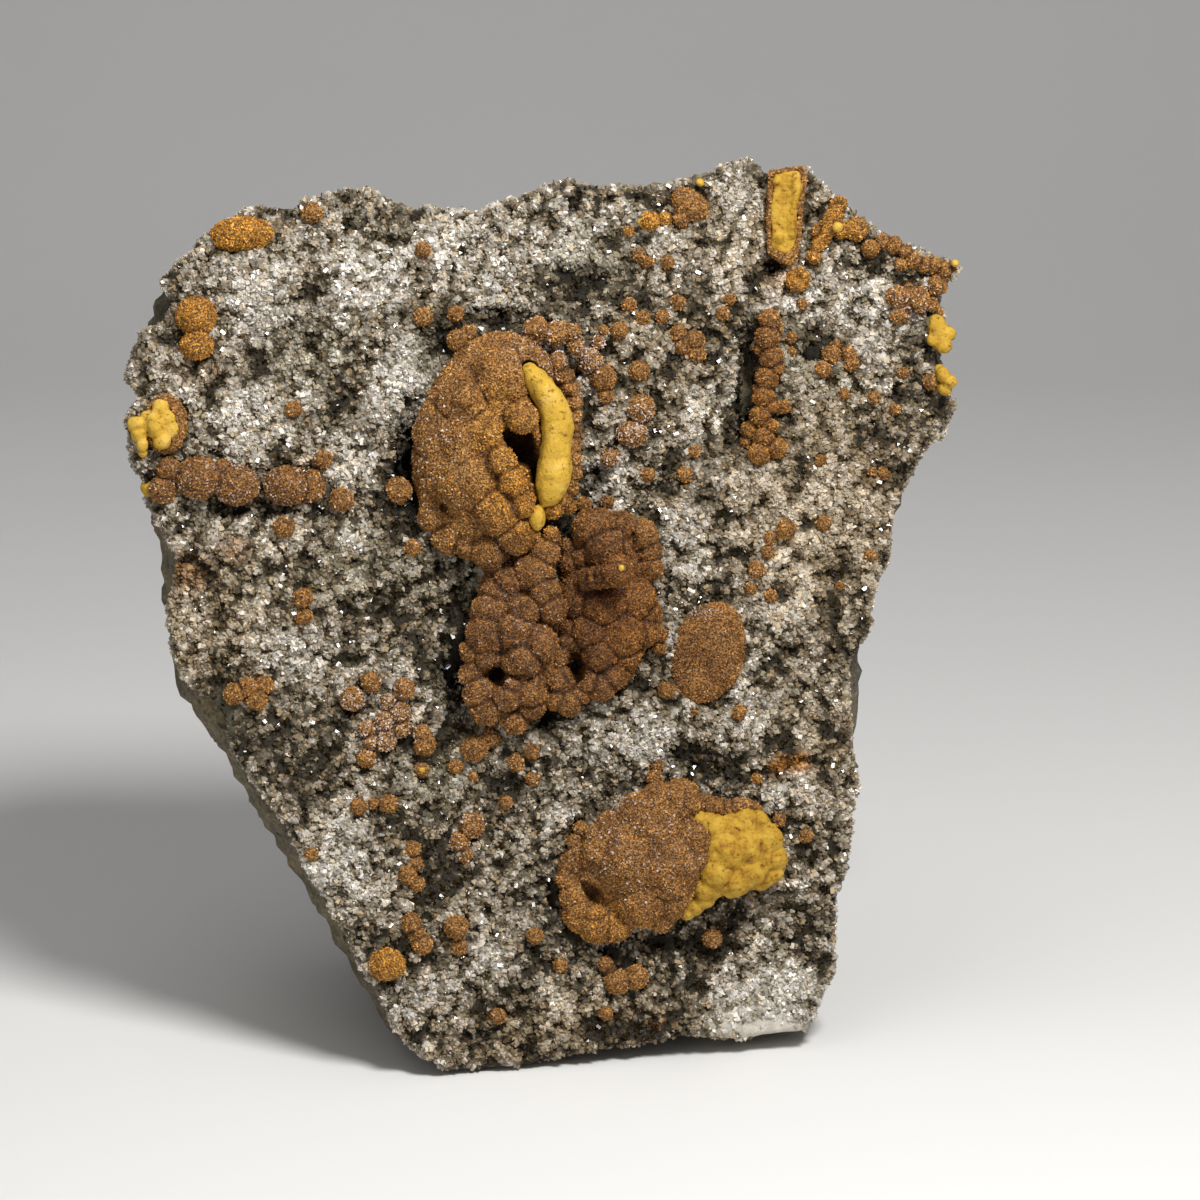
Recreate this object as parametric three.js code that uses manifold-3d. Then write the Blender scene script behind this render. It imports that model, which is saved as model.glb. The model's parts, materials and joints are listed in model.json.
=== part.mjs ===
// Gyrolite on heulandite: a broken plate of basalt, its front crusted by a druse of heulandite on which brown
// gyrolite has grown in lumps, lobes and balls. Some of the gyrolite is broken open to its yellow core.
//
// Millimetres, +Z up. Solids are shaped in the face's own frame: x to the right, y up along the face and z
// out of it. The face then leans back, and the plate stands on a flat foot at z = 0 of the part.
import * as THREE from "three";
import { ImprovedNoise } from "three/addons/math/ImprovedNoise.js";
import { mergeVertices } from "three/addons/utils/BufferGeometryUtils.js";
import Module from "manifold-3d";

const wasm = await Module();
wasm.setup();

// Driving dimensions
const LEAN = THREE.MathUtils.degToRad(15); // how far the face leans back
const FACE_TURN = 0.2; // the left of the face stands nearer than the right by this slope
const FACE = { left: -92, right: 92, bottom: -8, top: 192 }; // what the relief covers
const GAP = 0.3; // between neighbouring pieces
const CRUST = 7; // the druse's depth over the basalt
const DRUSE_CELL = 11; // the size of a facet of the druse
const ROCK_CELL = 24; // the size of a facet of the basalt
const BASE_DEPTH = 66; // the plate's depth at its foot
const TOP_DEPTH = 36; // and at its top
const BACK_TAPER = 12; // how far the sides draw in towards the back
const SIDE_FLARE = 5.5; // how far the basalt stands out past the druse at the lower left
const FLARE_DEPTH = 12; // how far behind the druse that flare is full
const ROUND_LUMP = 3.9; // lumps larger than this have more facets
const DEEP = 120; // past every solid

// The edge of the druse, clockwise from the tip at the upper left
const OUTLINE = [
  [-76.6, 157.8], [-70.6, 162], [-68.8, 165.2], [-64, 168.6], [-58, 171.4], [-50, 172.6], [-42, 175.6],
  [-35.6, 175], [-28, 172.4], [-14, 171], [-6.8, 174.2], [2.2, 178.4], [10, 177], [19, 177], [30, 179],
  [34.4, 181.2], [39.6, 182.8], [44.4, 180.4], [51.4, 181.2], [55.4, 176.6], [60, 174], [67.4, 168],
  [72, 165.4], [82.8, 162.4], [78.2, 156.4], [79.4, 152], [78.6, 146], [79, 139.4], [82, 134], [79.6, 128.8],
  [76, 126.4], [72, 118.8], [68.6, 113], [68.2, 103.2], [65.6, 99.4], [63.8, 92], [64.6, 90], [60.4, 82.8],
  [59.2, 78.4], [61.4, 57.4], [59.4, 40.4], [57.2, 33.4], [56.6, 24.4], [57.4, 19.8], [55, 16.4], [52, 7.4],
  [44, 6.8], [38, 5.8], [28, 7.2], [18, 5.6], [10, 4.8], [-6, 1.2], [-20.6, 0.6], [-25, 4], [-30, 8.4],
  [-33.6, 15.4], [-42, 31.4], [-52.8, 51.6], [-62, 64.4], [-64.4, 72], [-71, 78.8], [-74, 84], [-75, 92.4],
  [-73, 103], [-79, 114.4], [-80.8, 120.4], [-83, 130], [-80, 134], [-83.2, 138.4], [-80.6, 146.8],
  [-76, 148.2], [-73.4, 153.4],
];

// Hollows and ridges of the face: x, y, half width, half height, lift
const RELIEF = [
  [10, 164, 9, 8, -5], [10, 175, 14, 5, 2], [-18.6, 84.4, 5, 15, -9], [38.4, 139, 2.6, 11, -4],
  [53, 144, 5, 5, -4], [-46, 143, 8, 7, -3], [-22, 141, 5, 6, -3], [-35, 147, 5, 10, 3],
  [15, 70, 12, 5, 4.5], [31, 66, 5, 5, -4], [59, 93, 9, 6, 2.5], [59, 84, 8, 5, -2],
  [0, 35, 4.5, 8, -4], [-40, 42, 12, 20, 3], [-29, 123, 4, 8, -4], [-57, 158, 14, 10, 3],
  [73, 158, 10, 10, 3], [54, 114, 18, 20, 1], [-39, 62, 4, 4, -3], [-60, 100, 16, 20, 2],
];

// The cleaved corner at the lower right, where the heulandite is smooth: x, y, half width, half height
const CLEAVED = [43, 11, 15, 7];

// Pits in the druse: x, y, half width, half height, depth
const PITS = [
  [39.6, 138.6, 1.7, 9.5, 6], [-39.4, 62, 1.5, 1.9, 5], [-18.8, 84, 2.6, 11, 5], [0.2, 35, 1.6, 6, 4],
  [53, 144, 2.2, 2.6, 4], [-28.6, 123, 1.4, 7, 4],
];

// Lumps are balls [x, y, z, radius] or ovals [x, y, z, half width, half height, half depth, turn in degrees].
// A mass stands at z = 0 on the face at its seat.
const DOME = {
  detail: 4,
  seat: [-11, 125],
  lumps: [
    [-11.4, 125, 0, 16, 23.4, 12.4, -8], [-15.8, 118.2, 6.5, 7], [-21.1, 127.4, 3.5, 6.2],
    [-11.6, 127.1, 8.4, 5], [-16, 134, 5.6, 6.4], [-9, 138, 6.8, 6.6],
    [-10.1, 112.2, 7.4, 5.6], [-3.6, 140.6, 7.2, 4.4],
    [-6.6, 107.9, 6.4, 4.6], [-11.6, 104.4, 4.4, 4], [-20.1, 107, 3.2, 3.6], [-17, 105.4, 3.6, 3],
    [-22.6, 111.2, 3, 3.8], [-2.7, 148.2, 2.6, 2.6], [1.2, 147.4, 2.4, 2.5], [4.4, 147.6, 1.6, 2],
    [2, 141.6, 6.4, 2.2], [3.2, 139, 6, 2.1], [4, 136.4, 5.6, 2], [4.5, 133.6, 5.2, 1.9], [4.8, 130.8, 5, 1.8],
    [4.9, 125.2, 4.8, 1.8], [4.4, 119.6, 4.8, 2.1], [3.6, 117, 5, 2.3], [2.4, 114.6, 5.4, 2.4],
    [0.6, 112.8, 6, 2.4],
  ],
  holes: [[-6.2, 127, 11, 3, 2, 8], [-4, 123.4, 11, 1.7, 4, 8]],
  knobs: [
    [-5.5, 130.4, 11.6, 3.3], [-8.6, 122.8, 10.6, 2.9], [-6.8, 118.2, 10.6, 3.2], [-5.4, 113.8, 10, 2.9],
  ],
};
const DOME_CORE = [
  [-2.4, 137.6, 10.2, 2, 4.4, 2.4, 28], [0.9, 130.6, 9.4, 2.8, 5.6, 2.8, 14],
  [1.2, 121, 9, 3.2, 6.6, 3.2, -6],
];

const LEFT_LOBE = {
  detail: 4,
  seat: [-7, 88],
  lumps: [
    [-6.6, 87.6, 0.6, 8.4, 17.4, 6.8, 4], [0.4, 107.2, 6, 2], [-1, 103.6, 6, 3.2], [-3, 99.8, 6, 4.1],
    [-1, 95.8, 7, 3.3], [0.7, 92.7, 7, 3.1], [-5.1, 92.4, 7.6, 3.2], [-10.2, 95.1, 4.4, 3.9],
    [-7.8, 97.8, 5, 3.6], [-11.5, 91.7, 5.4, 4.4], [-12.2, 87.6, 6.4, 4.5], [-7.1, 88.2, 7.4, 4.2],
    [-2, 85.8, 7.2, 3.8], [-5.4, 82.6, 7.6, 3.8], [-15.6, 84.2, 5.6, 2.5], [-12.2, 82.2, 7.6, 2.3],
    [-15.3, 79.5, 5.6, 2.9], [-13.9, 76.1, 6, 3.5], [-12.6, 73, 5.4, 3.5], [-8.5, 75.4, 7, 3.1],
    [-7.8, 77.2, 7.6, 2.2], [-3.7, 75.7, 6.2, 3.1], [-3.4, 73.3, 5.2, 2.7], [-7.1, 70, 4.2, 3, 2.3, 2.6],
  ],
  holes: [[-10.3, 79.2, 9, 1.5, 1.9, 6], [-6.4, 79.3, 10, 3.8, 0.7, 3.6], [-4.9, 95.3, 10, 1.6, 0.9, 4]],
  knobs: [],
};
const RIGHT_LOBE = {
  detail: 4,
  seat: [9, 92],
  lumps: [
    [10.6, 93, 0, 10.2, 18.4, 7.6, -4], [9.2, 108.2, 4.6, 4.8], [14.3, 109, 3.6, 3.3], [18.6, 107.4, 3, 3.2],
    [20, 104.2, 2.6, 2.5], [20.3, 100.8, 2.6, 2.4], [10.9, 104.8, 6, 4.5], [14.4, 104.8, 6.2, 2.2],
    [3.4, 105.2, 4, 1.6], [3.8, 101.9, 4.4, 1.9], [6.2, 102.8, 5.6, 1.7], [5.8, 94.4, 5, 3.9],
    [10.9, 93.4, 6, 4.9], [16.7, 94.6, 4.6, 4.5], [19.6, 91.8, 3, 3], [19.2, 88.2, 3, 3.2],
    [14.3, 87.4, 5.4, 4.9], [8.5, 88.2, 5.4, 4.2], [4.4, 88.2, 4.6, 2.6], [4, 85.9, 4.8, 2.7],
    [2.4, 83.2, 4.8, 2.8], [3.8, 79.6, 5, 2.5], [1.7, 78.1, 5, 3], [1.2, 75, 4.6, 2.8], [3.8, 73.9, 4.8, 2.8],
    [6.2, 75.7, 5, 2.2], [7.9, 78.1, 5.4, 2.8], [10.2, 77.3, 5, 3.1], [12.6, 79.5, 4.8, 3.2],
    [10.2, 83.6, 5.8, 3.8], [15, 83.6, 4.4, 3.3],
  ],
  holes: [[5.9, 81, 9, 1.6, 2.8, 7, 8], [16.4, 105.8, 8, 0.9, 3.6, 4.4, -8]],
  knobs: [[8.2, 98.8, 9.4, 2.4], [11, 99.3, 11.8, 2.5], [13.6, 100.1, 14.2, 3]],
};
const DISC = {
  detail: 1,
  seat: [31, 85],
  lumps: [
    [31.6, 84, 0.6, 7.6, 10.2, 3.8, -14], [33.4, 89, 1, 5.4, 5, 3], [29.8, 79, 1, 6, 5.4, 3],
    [27.2, 80.5, 1, 3.8, 4, 2.6], [34.6, 81.4, 1, 3.6, 5, 2.8],
  ],
  holes: [],
  knobs: [],
};

const LOWER_SHELL = {
  detail: 4,
  seat: [19, 42],
  lumps: [
    [17.8, 42, 0, 15, 12.4, 8.6, 26], [26, 54.2, 3, 4.6], [22, 54.4, 3.4, 3.9], [29, 53.6, 2.2, 2.8],
    [17.7, 51.6, 4.2, 4.3], [21, 48.2, 6, 5.2], [13.7, 47.8, 4.4, 4.2], [10.4, 43.6, 4.6, 4.5],
    [16.4, 41.8, 6.2, 6.6], [23.7, 40.6, 6.4, 6.4], [29, 46.4, 5, 3.8], [29.4, 42.6, 5, 3.4],
    [25.3, 35.2, 4.8, 4.5], [22, 31, 3.6, 3.2], [18.3, 34, 5.6, 5.1], [4.3, 41.6, 3, 2.8], [3.8, 38.4, 3, 2.7],
    [4.7, 34.9, 3.4, 3], [5.8, 31.4, 3.6, 3.4], [9.4, 29.2, 4, 3.6], [13.4, 29.1, 4, 3.2],
    [7.1, 43.2, 3.6, 2.8],
    [31.4, 53.2, 1.8, 2.2], [33.6, 52.8, 1.6, 2], [35.6, 52.7, 1.5, 1.9], [37.4, 52.8, 1.4, 1.9],
    [39.2, 52.9, 1.2, 1.8], [40.8, 52.6, 1, 1.7], [42, 51.2, 0.8, 1.5],
  ],
  holes: [[8.6, 35.6, 8, 2.6, 1.7, 5.5, -40], [6.6, 37.4, 7, 1.8, 1.1, 4, -40]],
  knobs: [[9.1, 31.4, 5, 2.4]],
};
// Where the shell of the lower mass has broken away from its core, clockwise from the top
const LOWER_BREAK = [
  [28, 51.5], [30, 50.2], [31.9, 47.5], [32.1, 43.8], [30.9, 40.8], [29.6, 37.9], [27.6, 34.2], [26, 30.6],
  [26, 26], [60, 24], [60, 51], [44, 49.6], [42.4, 51], [40.6, 52.3], [38.6, 52], [37.6, 51], [35.3, 51],
  [33.9, 50], [32.3, 51.7], [30.6, 52.3], [29, 52.2],
];
const CORE_DETAIL = 2;
const LOWER_CORE = [
  [38, 43.6, 1.6, 8.2, 7.4, 5, -12], [29.8, 50.6, 3, 1.9], [33.2, 48.4, 3.8, 3], [36.4, 48.4, 3.6, 3.2],
  [39.4, 49.6, 3, 3], [41.4, 49.4, 2.6, 2.8], [43.4, 46.4, 2.6, 3.2], [44.6, 42.6, 2, 3],
  [44.6, 40.2, 1.6, 2.4],
  [42.4, 38.8, 1.8, 2.6], [40, 40.4, 3, 3.8], [39.2, 45, 4, 4], [35, 44, 4.6, 4.4], [33.4, 40.4, 4.4, 4],
  [36.6, 38.6, 3.2, 3.8], [31.4, 37.2, 3.6, 3.2], [30.8, 35, 2.8, 2.4], [29, 33.4, 2.4, 2.1],
];
const CORE_PITS = [
  [41, 47.8, 6.6, 0.7], [40.2, 44.4, 7.6, 0.7], [43.4, 41.2, 5.4, 0.8], [34.8, 46.8, 8.2, 0.6],
];

// Grown along the druse: each lump stands on the face where it is, its centre z above it
const CHAINS = {
  left_pocket_chip: [[-79.4, 116.8, 0.8, 1.6]],
  gyrolite_finger_row: [
    [-74.6, 120.4, 1, 2.3], [-76, 116.2, 1.2, 2.7], [-69.4, 118.7, 2, 4, 3.4, 3.6],
    [-63.9, 116.6, 1.4, 2.4, 3.3, 2.6], [-59.6, 116.8, 2, 3.9, 3.6, 3.4],
    [-52.6, 116.5, 2, 4.3, 3.7, 3.8], [-47.6, 116.5, 1.2, 2.5],
  ],
  gyrolite_upright_finger: [
    [44.2, 150.8, 2.2, 2.2], [43.8, 147.4, 2.6, 2.7], [44.6, 143.2, 2.6, 2.5], [43.6, 139, 2.4, 2.4],
    [42.8, 134.8, 2.2, 2.5], [42, 130.6, 1.8, 2.6], [42.4, 126.4, 1.4, 3, 2.6, 2.6],
  ],
  broken_tube: [
    [58.2, 174.2, 1, 1.8], [57, 172, 1.2, 2], [55.2, 169.6, 1.2, 2.2], [54.2, 166.8, 1.1, 2],
    [53.4, 164, 0.8, 1.8],
  ],
  ridge_knobs: [[58.8, 169.2, 0.8, 1.9], [61.8, 169.4, 1, 2.4]],
  ridge_chain: [
    [65, 165.8, 1, 2.1], [68.6, 166.4, 1, 2.2], [72, 164.8, 0.9, 2.1], [75, 162.8, 0.9, 2.1],
    [78, 162.2, 0.9, 2.1], [81, 161.6, 0.8, 1.9], [78.6, 158.4, 1, 2.2],
  ],
  right_cluster: [
    [70.2, 155.4, 1.2, 2.6], [74.3, 155.2, 1.2, 2.7], [70.9, 152.4, 1, 2.1], [77.4, 154.2, 0.5, 1.7],
  ],
  right_core_upper: [[79.2, 149.2, 0.8, 2.6, 3.8, 2.6, 12], [77.6, 147.4, 0.8, 1.8]],
  right_core_lower: [[79.2, 140.8, 1.4, 1.7], [80.8, 138.4, 1.4, 2.1]],
  top_oval: [[28.2, 174, 0.8, 4.4, 2.8, 2.4, -35], [26.4, 171, 0.6, 1.7]],
  top_left_oval: [[-60.8, 166.6, 1, 6.4, 3.5, 3.4, 4]],
  balls_left_notch: [[-69.6, 150.4, 1.4, 4], [-69.4, 144.4, 1, 3.4, 2.8, 3]],
  ball_left_low: [[-41.2, 114.2, 1, 2.4]],
  ball_by_dome: [[-30.2, 116.2, 1.2, 2.8]],
  balls_left_trio: [[-62.2, 75.8, 0.8, 2.1], [-59.2, 77, 0.8, 2.3], [-57, 75.8, 0.8, 2.4]],
  frosted_cluster: [
    [-31, 73, 0.8, 2.4], [-33, 70, 0.8, 2.2], [-36.2, 68, 0.6, 2], [-34, 66.6, 0.9, 2.4],
  ],
  balls_under_lobe: [[-15, 64.8, 1, 2.6], [-11.8, 67, 0.8, 2]],
  flat_double: [[-15.6, 49.4, 0.8, 2.6], [-18, 46.2, 0.7, 2.1], [-16.8, 43.2, 0.3, 1.4]],
  coarse_ball: [[-32.2, 22.2, 1, 3.8, 3.2, 3]],
  balls_low_pair: [[-27.4, 30.2, 0.8, 2.1], [-25.4, 26, 0.8, 2.1], [-26.4, 28.2, 0.6, 1.8]],
  balls_bottom: [[11, 21.4, 0.7, 1.7], [13.4, 18, 1, 2.6], [17.2, 18.8, 1, 2.5], [12.2, 19.8, 0.4, 1.5]],
  balls_by_dome: [[8, 142.2, 1, 2.6], [10.6, 138.8, 1, 2.7], [11.2, 135.2, 0.5, 1.5]],
  ball_mid: [[18.2, 132.8, 1.1, 2.8]],
  ball_mid_frosted: [[16.4, 127.8, 1, 3.2, 2.8, 2.6]],
  balls_top_cluster: [[25.8, 147.8, 0.7, 1.8], [28.8, 146.2, 0.7, 2.2], [29, 143.6, 0.6, 1.9]],
  ring_ball: [[49.8, 159, 0.9, 2.5]],
};

// Balls too small for a solid of their own, grown into the druse: x, y, radius
const SMALL_BALLS = [
  [32.6, 26.2, 2], [-44.8, 122.2, 1.9], [-25.2, 150.6, 1.9], [-36.4, 63, 1.9], [-47, 171, 2.1],
  [-52.2, 108.8, 2.2], [-35.4, 78, 2.1], [-28.8, 76.8, 2.1], [17.8, 140.4, 2.1], [47.4, 108.6, 2.1],
  [12, 122.8, 1.9], [-48.6, 94.8, 2], [-32, 54, 1.9], [-28.2, 39.8, 1.9], [-18.4, 146.2, 2.2],
  [-25.4, 67.8, 1.9], [-24.8, 65.6, 2.2], [-18.6, 29.4, 2.5], [56.8, 144, 1.9], [20, 170.4, 2],
  [-39, 74.8, 2.5],
];

// The broken pocket at the left edge: a thin shell round yellow lobes
const POCKET_SHELL = [[-75.4, 129, 0, 4.4, 6, 2.6, 0]];
const POCKET_CORE = [
  [-76.4, 129, 1.6, 3.4, 3.8, 2.2, 0], [-76.4, 132, 1.8, 1.8], [-76, 126, 1.8, 1.9],
  [-80.6, 128.2, 1.1, 2.4],
];

// The broken tube at the top right: a slab of yellow core in a thin shell
const TUBE_CORE = [[45, 179.4], [49.6, 180.6], [50.6, 178.6], [49.6, 167], [48.8, 164], [44.8, 166.8]];
const TUBE_SHELL = [
  [43.6, 179.8], [50, 182.2], [52, 179.2], [51, 166.6], [49.4, 162.4], [46.6, 162.6], [43.4, 166],
];
const TUBE_DEPTH = { shell: [-1, 2.4], core: [0.6, 3.2] };

const MATERIALS = {
  basalt: new THREE.MeshStandardMaterial({ color: 0x57503e, roughness: 0.95, flatShading: true }),
  heulandite: new THREE.MeshStandardMaterial({ color: 0xb4ad9e, roughness: 0.5, flatShading: true }),
  gyrolite: new THREE.MeshStandardMaterial({ color: 0x7a5230, roughness: 0.8, flatShading: true }),
  core: new THREE.MeshStandardMaterial({ color: 0xc69a42, roughness: 0.6, flatShading: true }),
};

const grain = new ImprovedNoise();

// The face without its roughness: its turn to the side, its hollows and its ridges.
function ground(x, y) {
  let z = -FACE_TURN * x;
  for (const [cx, cy, rx, ry, lift] of RELIEF) {
    z += lift * Math.exp(-(((x - cx) / rx) ** 2) - ((y - cy) / ry) ** 2);
  }
  return z;
}

// How far the cleaved corner reaches at a point, from 0 to 1.
function cleaved(x, y) {
  const [cx, cy, rx, ry] = CLEAVED;
  const reach = Math.hypot((x - cx) / rx, (y - cy) / ry);
  return 1 - THREE.MathUtils.smoothstep(reach, 0.8, 1.2);
}

function druseFront(x, y) {
  const rough = 3 * grain.noise(x / 15, y / 15, 0.4) + 1.8 * grain.noise(x / 6.5, y / 6.5, 7.1);
  return ground(x, y) + rough * (1 - cleaved(x, y));
}

function crustBack(x, y) {
  return ground(x, y) - CRUST;
}

function rockBack(x, y) {
  const depth = THREE.MathUtils.mapLinear(y, 0, FACE.top, BASE_DEPTH, TOP_DEPTH);
  return -depth + 7 * grain.noise(x / 38, y / 38, 3.7) + 4 * grain.noise(x / 17, y / 17, 9.2);
}

function toSolid(geometry) {
  geometry.deleteAttribute("normal");
  geometry.deleteAttribute("uv");
  const merged = mergeVertices(geometry, 1e-4);
  const vertProperties = new Float32Array(merged.attributes.position.array);
  const triVerts = new Uint32Array(merged.index.array);
  return new wasm.Manifold(new wasm.Mesh({ numProp: 3, vertProperties, triVerts }));
}

// Moves every point of a geometry by a rule of where it is.
function moved(geometry, rule) {
  const points = geometry.attributes.position;
  const point = new THREE.Vector3();
  for (let i = 0; i < points.count; i += 1) {
    point.fromBufferAttribute(points, i);
    rule(point);
    points.setXYZ(i, point.x, point.y, point.z);
  }
  return geometry;
}

// A block over the whole face, between a front and a back surface. Its facets are uneven.
function block(front, back, cell) {
  const width = FACE.right - FACE.left;
  const height = FACE.top - FACE.bottom;
  const box = new THREE.BoxGeometry(width, height, 2, Math.round(width / cell), Math.round(height / cell), 1);
  box.translate((FACE.left + FACE.right) / 2, (FACE.bottom + FACE.top) / 2, 0);
  return toSolid(moved(box, (p) => {
    const inside = p.x > FACE.left + 1 && p.x < FACE.right - 1 && p.y > FACE.bottom + 1 && p.y < FACE.top - 1;
    const shift = inside ? 0.62 * cell : 0;
    const { x, y } = p;
    p.x += shift * grain.noise(x * 0.37, y * 0.37, 21.3);
    p.y += shift * grain.noise(x * 0.37, y * 0.37, 33.9);
    p.z = p.z > 0 ? front(p.x, p.y) : back(p.x, p.y);
  }));
}

function prism(points, from, to, steps = 1) {
  const shape = new THREE.Shape(points.map(([x, y]) => new THREE.Vector2(x, y)));
  const geometry = new THREE.ExtrudeGeometry(shape, { depth: to - from, steps, bevelEnabled: false });
  return geometry.translate(0, 0, from);
}

function lump(spec, grow = 0) {
  const [x, y, z, width, height = width, depth = width, turn = 0] = spec;
  const size = Math.sqrt(width * height);
  const detail = size > ROUND_LUMP ? 1 : 0;
  const geometry = new THREE.IcosahedronGeometry(1, detail);
  const fill = detail ? 1.03 : 1.1; // so that flat facets hold as much as the round lump
  geometry.rotateX(x).rotateY(y);
  geometry.scale(width * fill + grow, height * fill + grow, depth * fill + grow);
  geometry.rotateZ(THREE.MathUtils.degToRad(turn));
  return toSolid(geometry.translate(x, y, z));
}

// How far along a ray the far side of a lump is, or 0 where the ray misses it.
function farSide([x, y, z, width, height = width, depth = width, turn = 0], from, along) {
  const axis = new THREE.Vector3(0, 0, 1);
  const back = -THREE.MathUtils.degToRad(turn);
  const size = new THREE.Vector3(width, height, depth);
  const start = from.clone().sub(new THREE.Vector3(x, y, z)).applyAxisAngle(axis, back).divide(size);
  const way = along.clone().applyAxisAngle(axis, back).divide(size);
  const middle = start.dot(way);
  const inside = middle * middle - way.dot(way) * (start.dot(start) - 1);
  return inside < 0 ? 0 : (Math.sqrt(inside) - middle) / way.dot(way);
}

// Lumps under one skin: the skin of the first, pushed out to whichever lump reaches farthest from its middle.
function skin(specs, detail, grow = 0) {
  const [x, y, z, width, height, depth, turn] = specs[0];
  const centre = new THREE.Vector3(x, y, z);
  const geometry = new THREE.IcosahedronGeometry(1, detail).scale(width, height, depth);
  geometry.rotateZ(THREE.MathUtils.degToRad(turn));
  moved(geometry, (p) => {
    p.normalize();
    p.multiplyScalar(Math.max(...specs.map((spec) => farSide(spec, centre, p))) + grow);
  });
  return toSolid(geometry.translate(x, y, z));
}

function joined(solids) {
  return solids.reduce((whole, next) => whole.add(next));
}

function lumps(specs, grow = 0) {
  return joined(specs.map((spec) => lump(spec, grow)));
}

// Lumps whose centres are given above the face where each one is.
function standing([x, y, z, ...size]) {
  return [x, y, z + druseFront(x, y), ...size];
}

// Lumps whose centres are given above the face at the seat of their mass.
function seated(mass, specs) {
  const level = ground(...mass.seat);
  return specs.map(([x, y, z, ...size]) => [x, y, z + level, ...size]);
}

const deepBack = () => -DEEP;
const clearance = block((x, y) => druseFront(x, y) + GAP, deepBack, DRUSE_CELL);
const floorBox = new THREE.BoxGeometry(3 * DEEP, DEEP, 4 * DEEP).translate(0, -DEEP / 2, 0);
const underFloor = toSolid(floorBox.rotateX(LEAN));

function onDruse(solid) {
  return solid.subtract(clearance);
}

function mass(parts, grow = 0) {
  const body = skin(seated(parts, parts.lumps), parts.detail, grow);
  const hollowed = parts.holes.length ? body.subtract(lumps(seated(parts, parts.holes), -grow)) : body;
  return parts.knobs.length ? hollowed.add(lumps(seated(parts, parts.knobs), grow)) : hollowed;
}

// What is left of a solid after a cut, without chips that have come loose.
function largest(solid) {
  return solid.decompose().sort((a, b) => b.volume() - a.volume())[0];
}

// The crust with its pits, and with the small balls where no other piece has taken their room.
function makeDruse(takenRoom) {
  const edge = toSolid(prism(OUTLINE, -DEEP / 2, DEEP / 2));
  const back = block(crustBack, () => -2 * DEEP, ROCK_CELL);
  const crust = block(druseFront, deepBack, DRUSE_CELL).intersect(edge).subtract(back);
  const pits = PITS.map(([x, y, ...size]) => lump([x, y, druseFront(x, y), ...size]));
  const balls = SMALL_BALLS.map(([x, y, r]) => {
    const bump = new THREE.ConeGeometry(1.6 * r, 2.4 * r, 3).rotateX(Math.PI / 2).rotateZ(x);
    return toSolid(bump.translate(x, y, druseFront(x, y) + 0.2 * r));
  });
  return crust.subtract(joined(pits)).add(joined(balls).subtract(takenRoom)).subtract(underFloor);
}

// The basalt's sides: they stand out past the druse at the lower left and draw in towards the back.
function makeBasalt() {
  const centre = new THREE.Vector2(0, 95);
  const front = FACE.left * -FACE_TURN;
  const corners = OUTLINE.filter((_, i) => i % 3 === 0);
  const sides = moved(prism(corners, -BASE_DEPTH - 20, front, 3), (p) => {
    const depth = THREE.MathUtils.clamp((ground(p.x, p.y) - CRUST - p.z) / FLARE_DEPTH, 0, 1);
    const low = 1 - THREE.MathUtils.smoothstep(p.y, 106, 118);
    const lowerLeft = THREE.MathUtils.smoothstep(-p.x, 12, 32) * low;
    const far = THREE.MathUtils.clamp((-p.z - 12) / BASE_DEPTH, 0, 1);
    const rough = 3 * grain.noise(p.x / 11, p.y / 11, p.z / 9) * depth;
    const flare = SIDE_FLARE * lowerLeft * depth;
    const out = flare - BACK_TAPER * far * far + Math.min(rough, 2 * lowerLeft) - 0.6;
    const away = new THREE.Vector2(p.x, p.y).sub(centre).setLength(out);
    p.x += away.x;
    p.y += away.y;
  });
  const slab = block((x, y) => crustBack(x, y) - GAP, rockBack, ROCK_CELL);
  return slab.intersect(toSolid(sides)).subtract(underFloor);
}

const nodes = [];

function piece(name, solid, material) {
  const { vertProperties, triVerts } = largest(solid).getMesh();
  const geometry = new THREE.BufferGeometry();
  geometry.setAttribute("position", new THREE.BufferAttribute(new Float32Array(vertProperties), 3));
  geometry.setIndex(new THREE.BufferAttribute(new Uint32Array(triVerts), 1));
  const mesh = new THREE.Mesh(geometry, MATERIALS[material]);
  mesh.name = name;
  nodes.push(mesh);
}

piece("basalt_matrix", makeBasalt(), "basalt");

// The dome and the yellow core in its broken side
const domeCore = seated(DOME, DOME_CORE);
piece("gyrolite_dome", onDruse(mass(DOME)).subtract(lumps(domeCore, GAP)), "gyrolite");
piece("dome_core", lumps(domeCore), "core");

// The two lobes under the dome and the disc beside them, each kept clear of its neighbours
const room = 1.6 * GAP; // a skin grown by this much stays a gap away from the piece on its slopes too
const domeRoom = mass(DOME, room).add(lumps(domeCore, GAP));
const leftRoom = mass(LEFT_LOBE, room);
const rightRoom = mass(RIGHT_LOBE, room);
piece("gyrolite_left_lobe", onDruse(mass(LEFT_LOBE)).subtract(domeRoom), "gyrolite");
piece("gyrolite_right_lobe", onDruse(mass(RIGHT_LOBE)).subtract(domeRoom).subtract(leftRoom), "gyrolite");
piece("gyrolite_disc", onDruse(mass(DISC)).subtract(rightRoom), "gyrolite");

// The lower mass: its shell, broken away at the right, and the core that shows there
const lowerCore = seated(LOWER_SHELL, LOWER_CORE);
const lowerRoom = skin(lowerCore, CORE_DETAIL, room);
const broken = toSolid(prism(LOWER_BREAK, -DEEP, DEEP));
piece("gyrolite_lower_shell", onDruse(mass(LOWER_SHELL).subtract(broken)).subtract(lowerRoom), "gyrolite");
const corePits = lumps(seated(LOWER_SHELL, CORE_PITS));
piece("lower_core", onDruse(skin(lowerCore, CORE_DETAIL)).subtract(corePits), "core");

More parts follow.
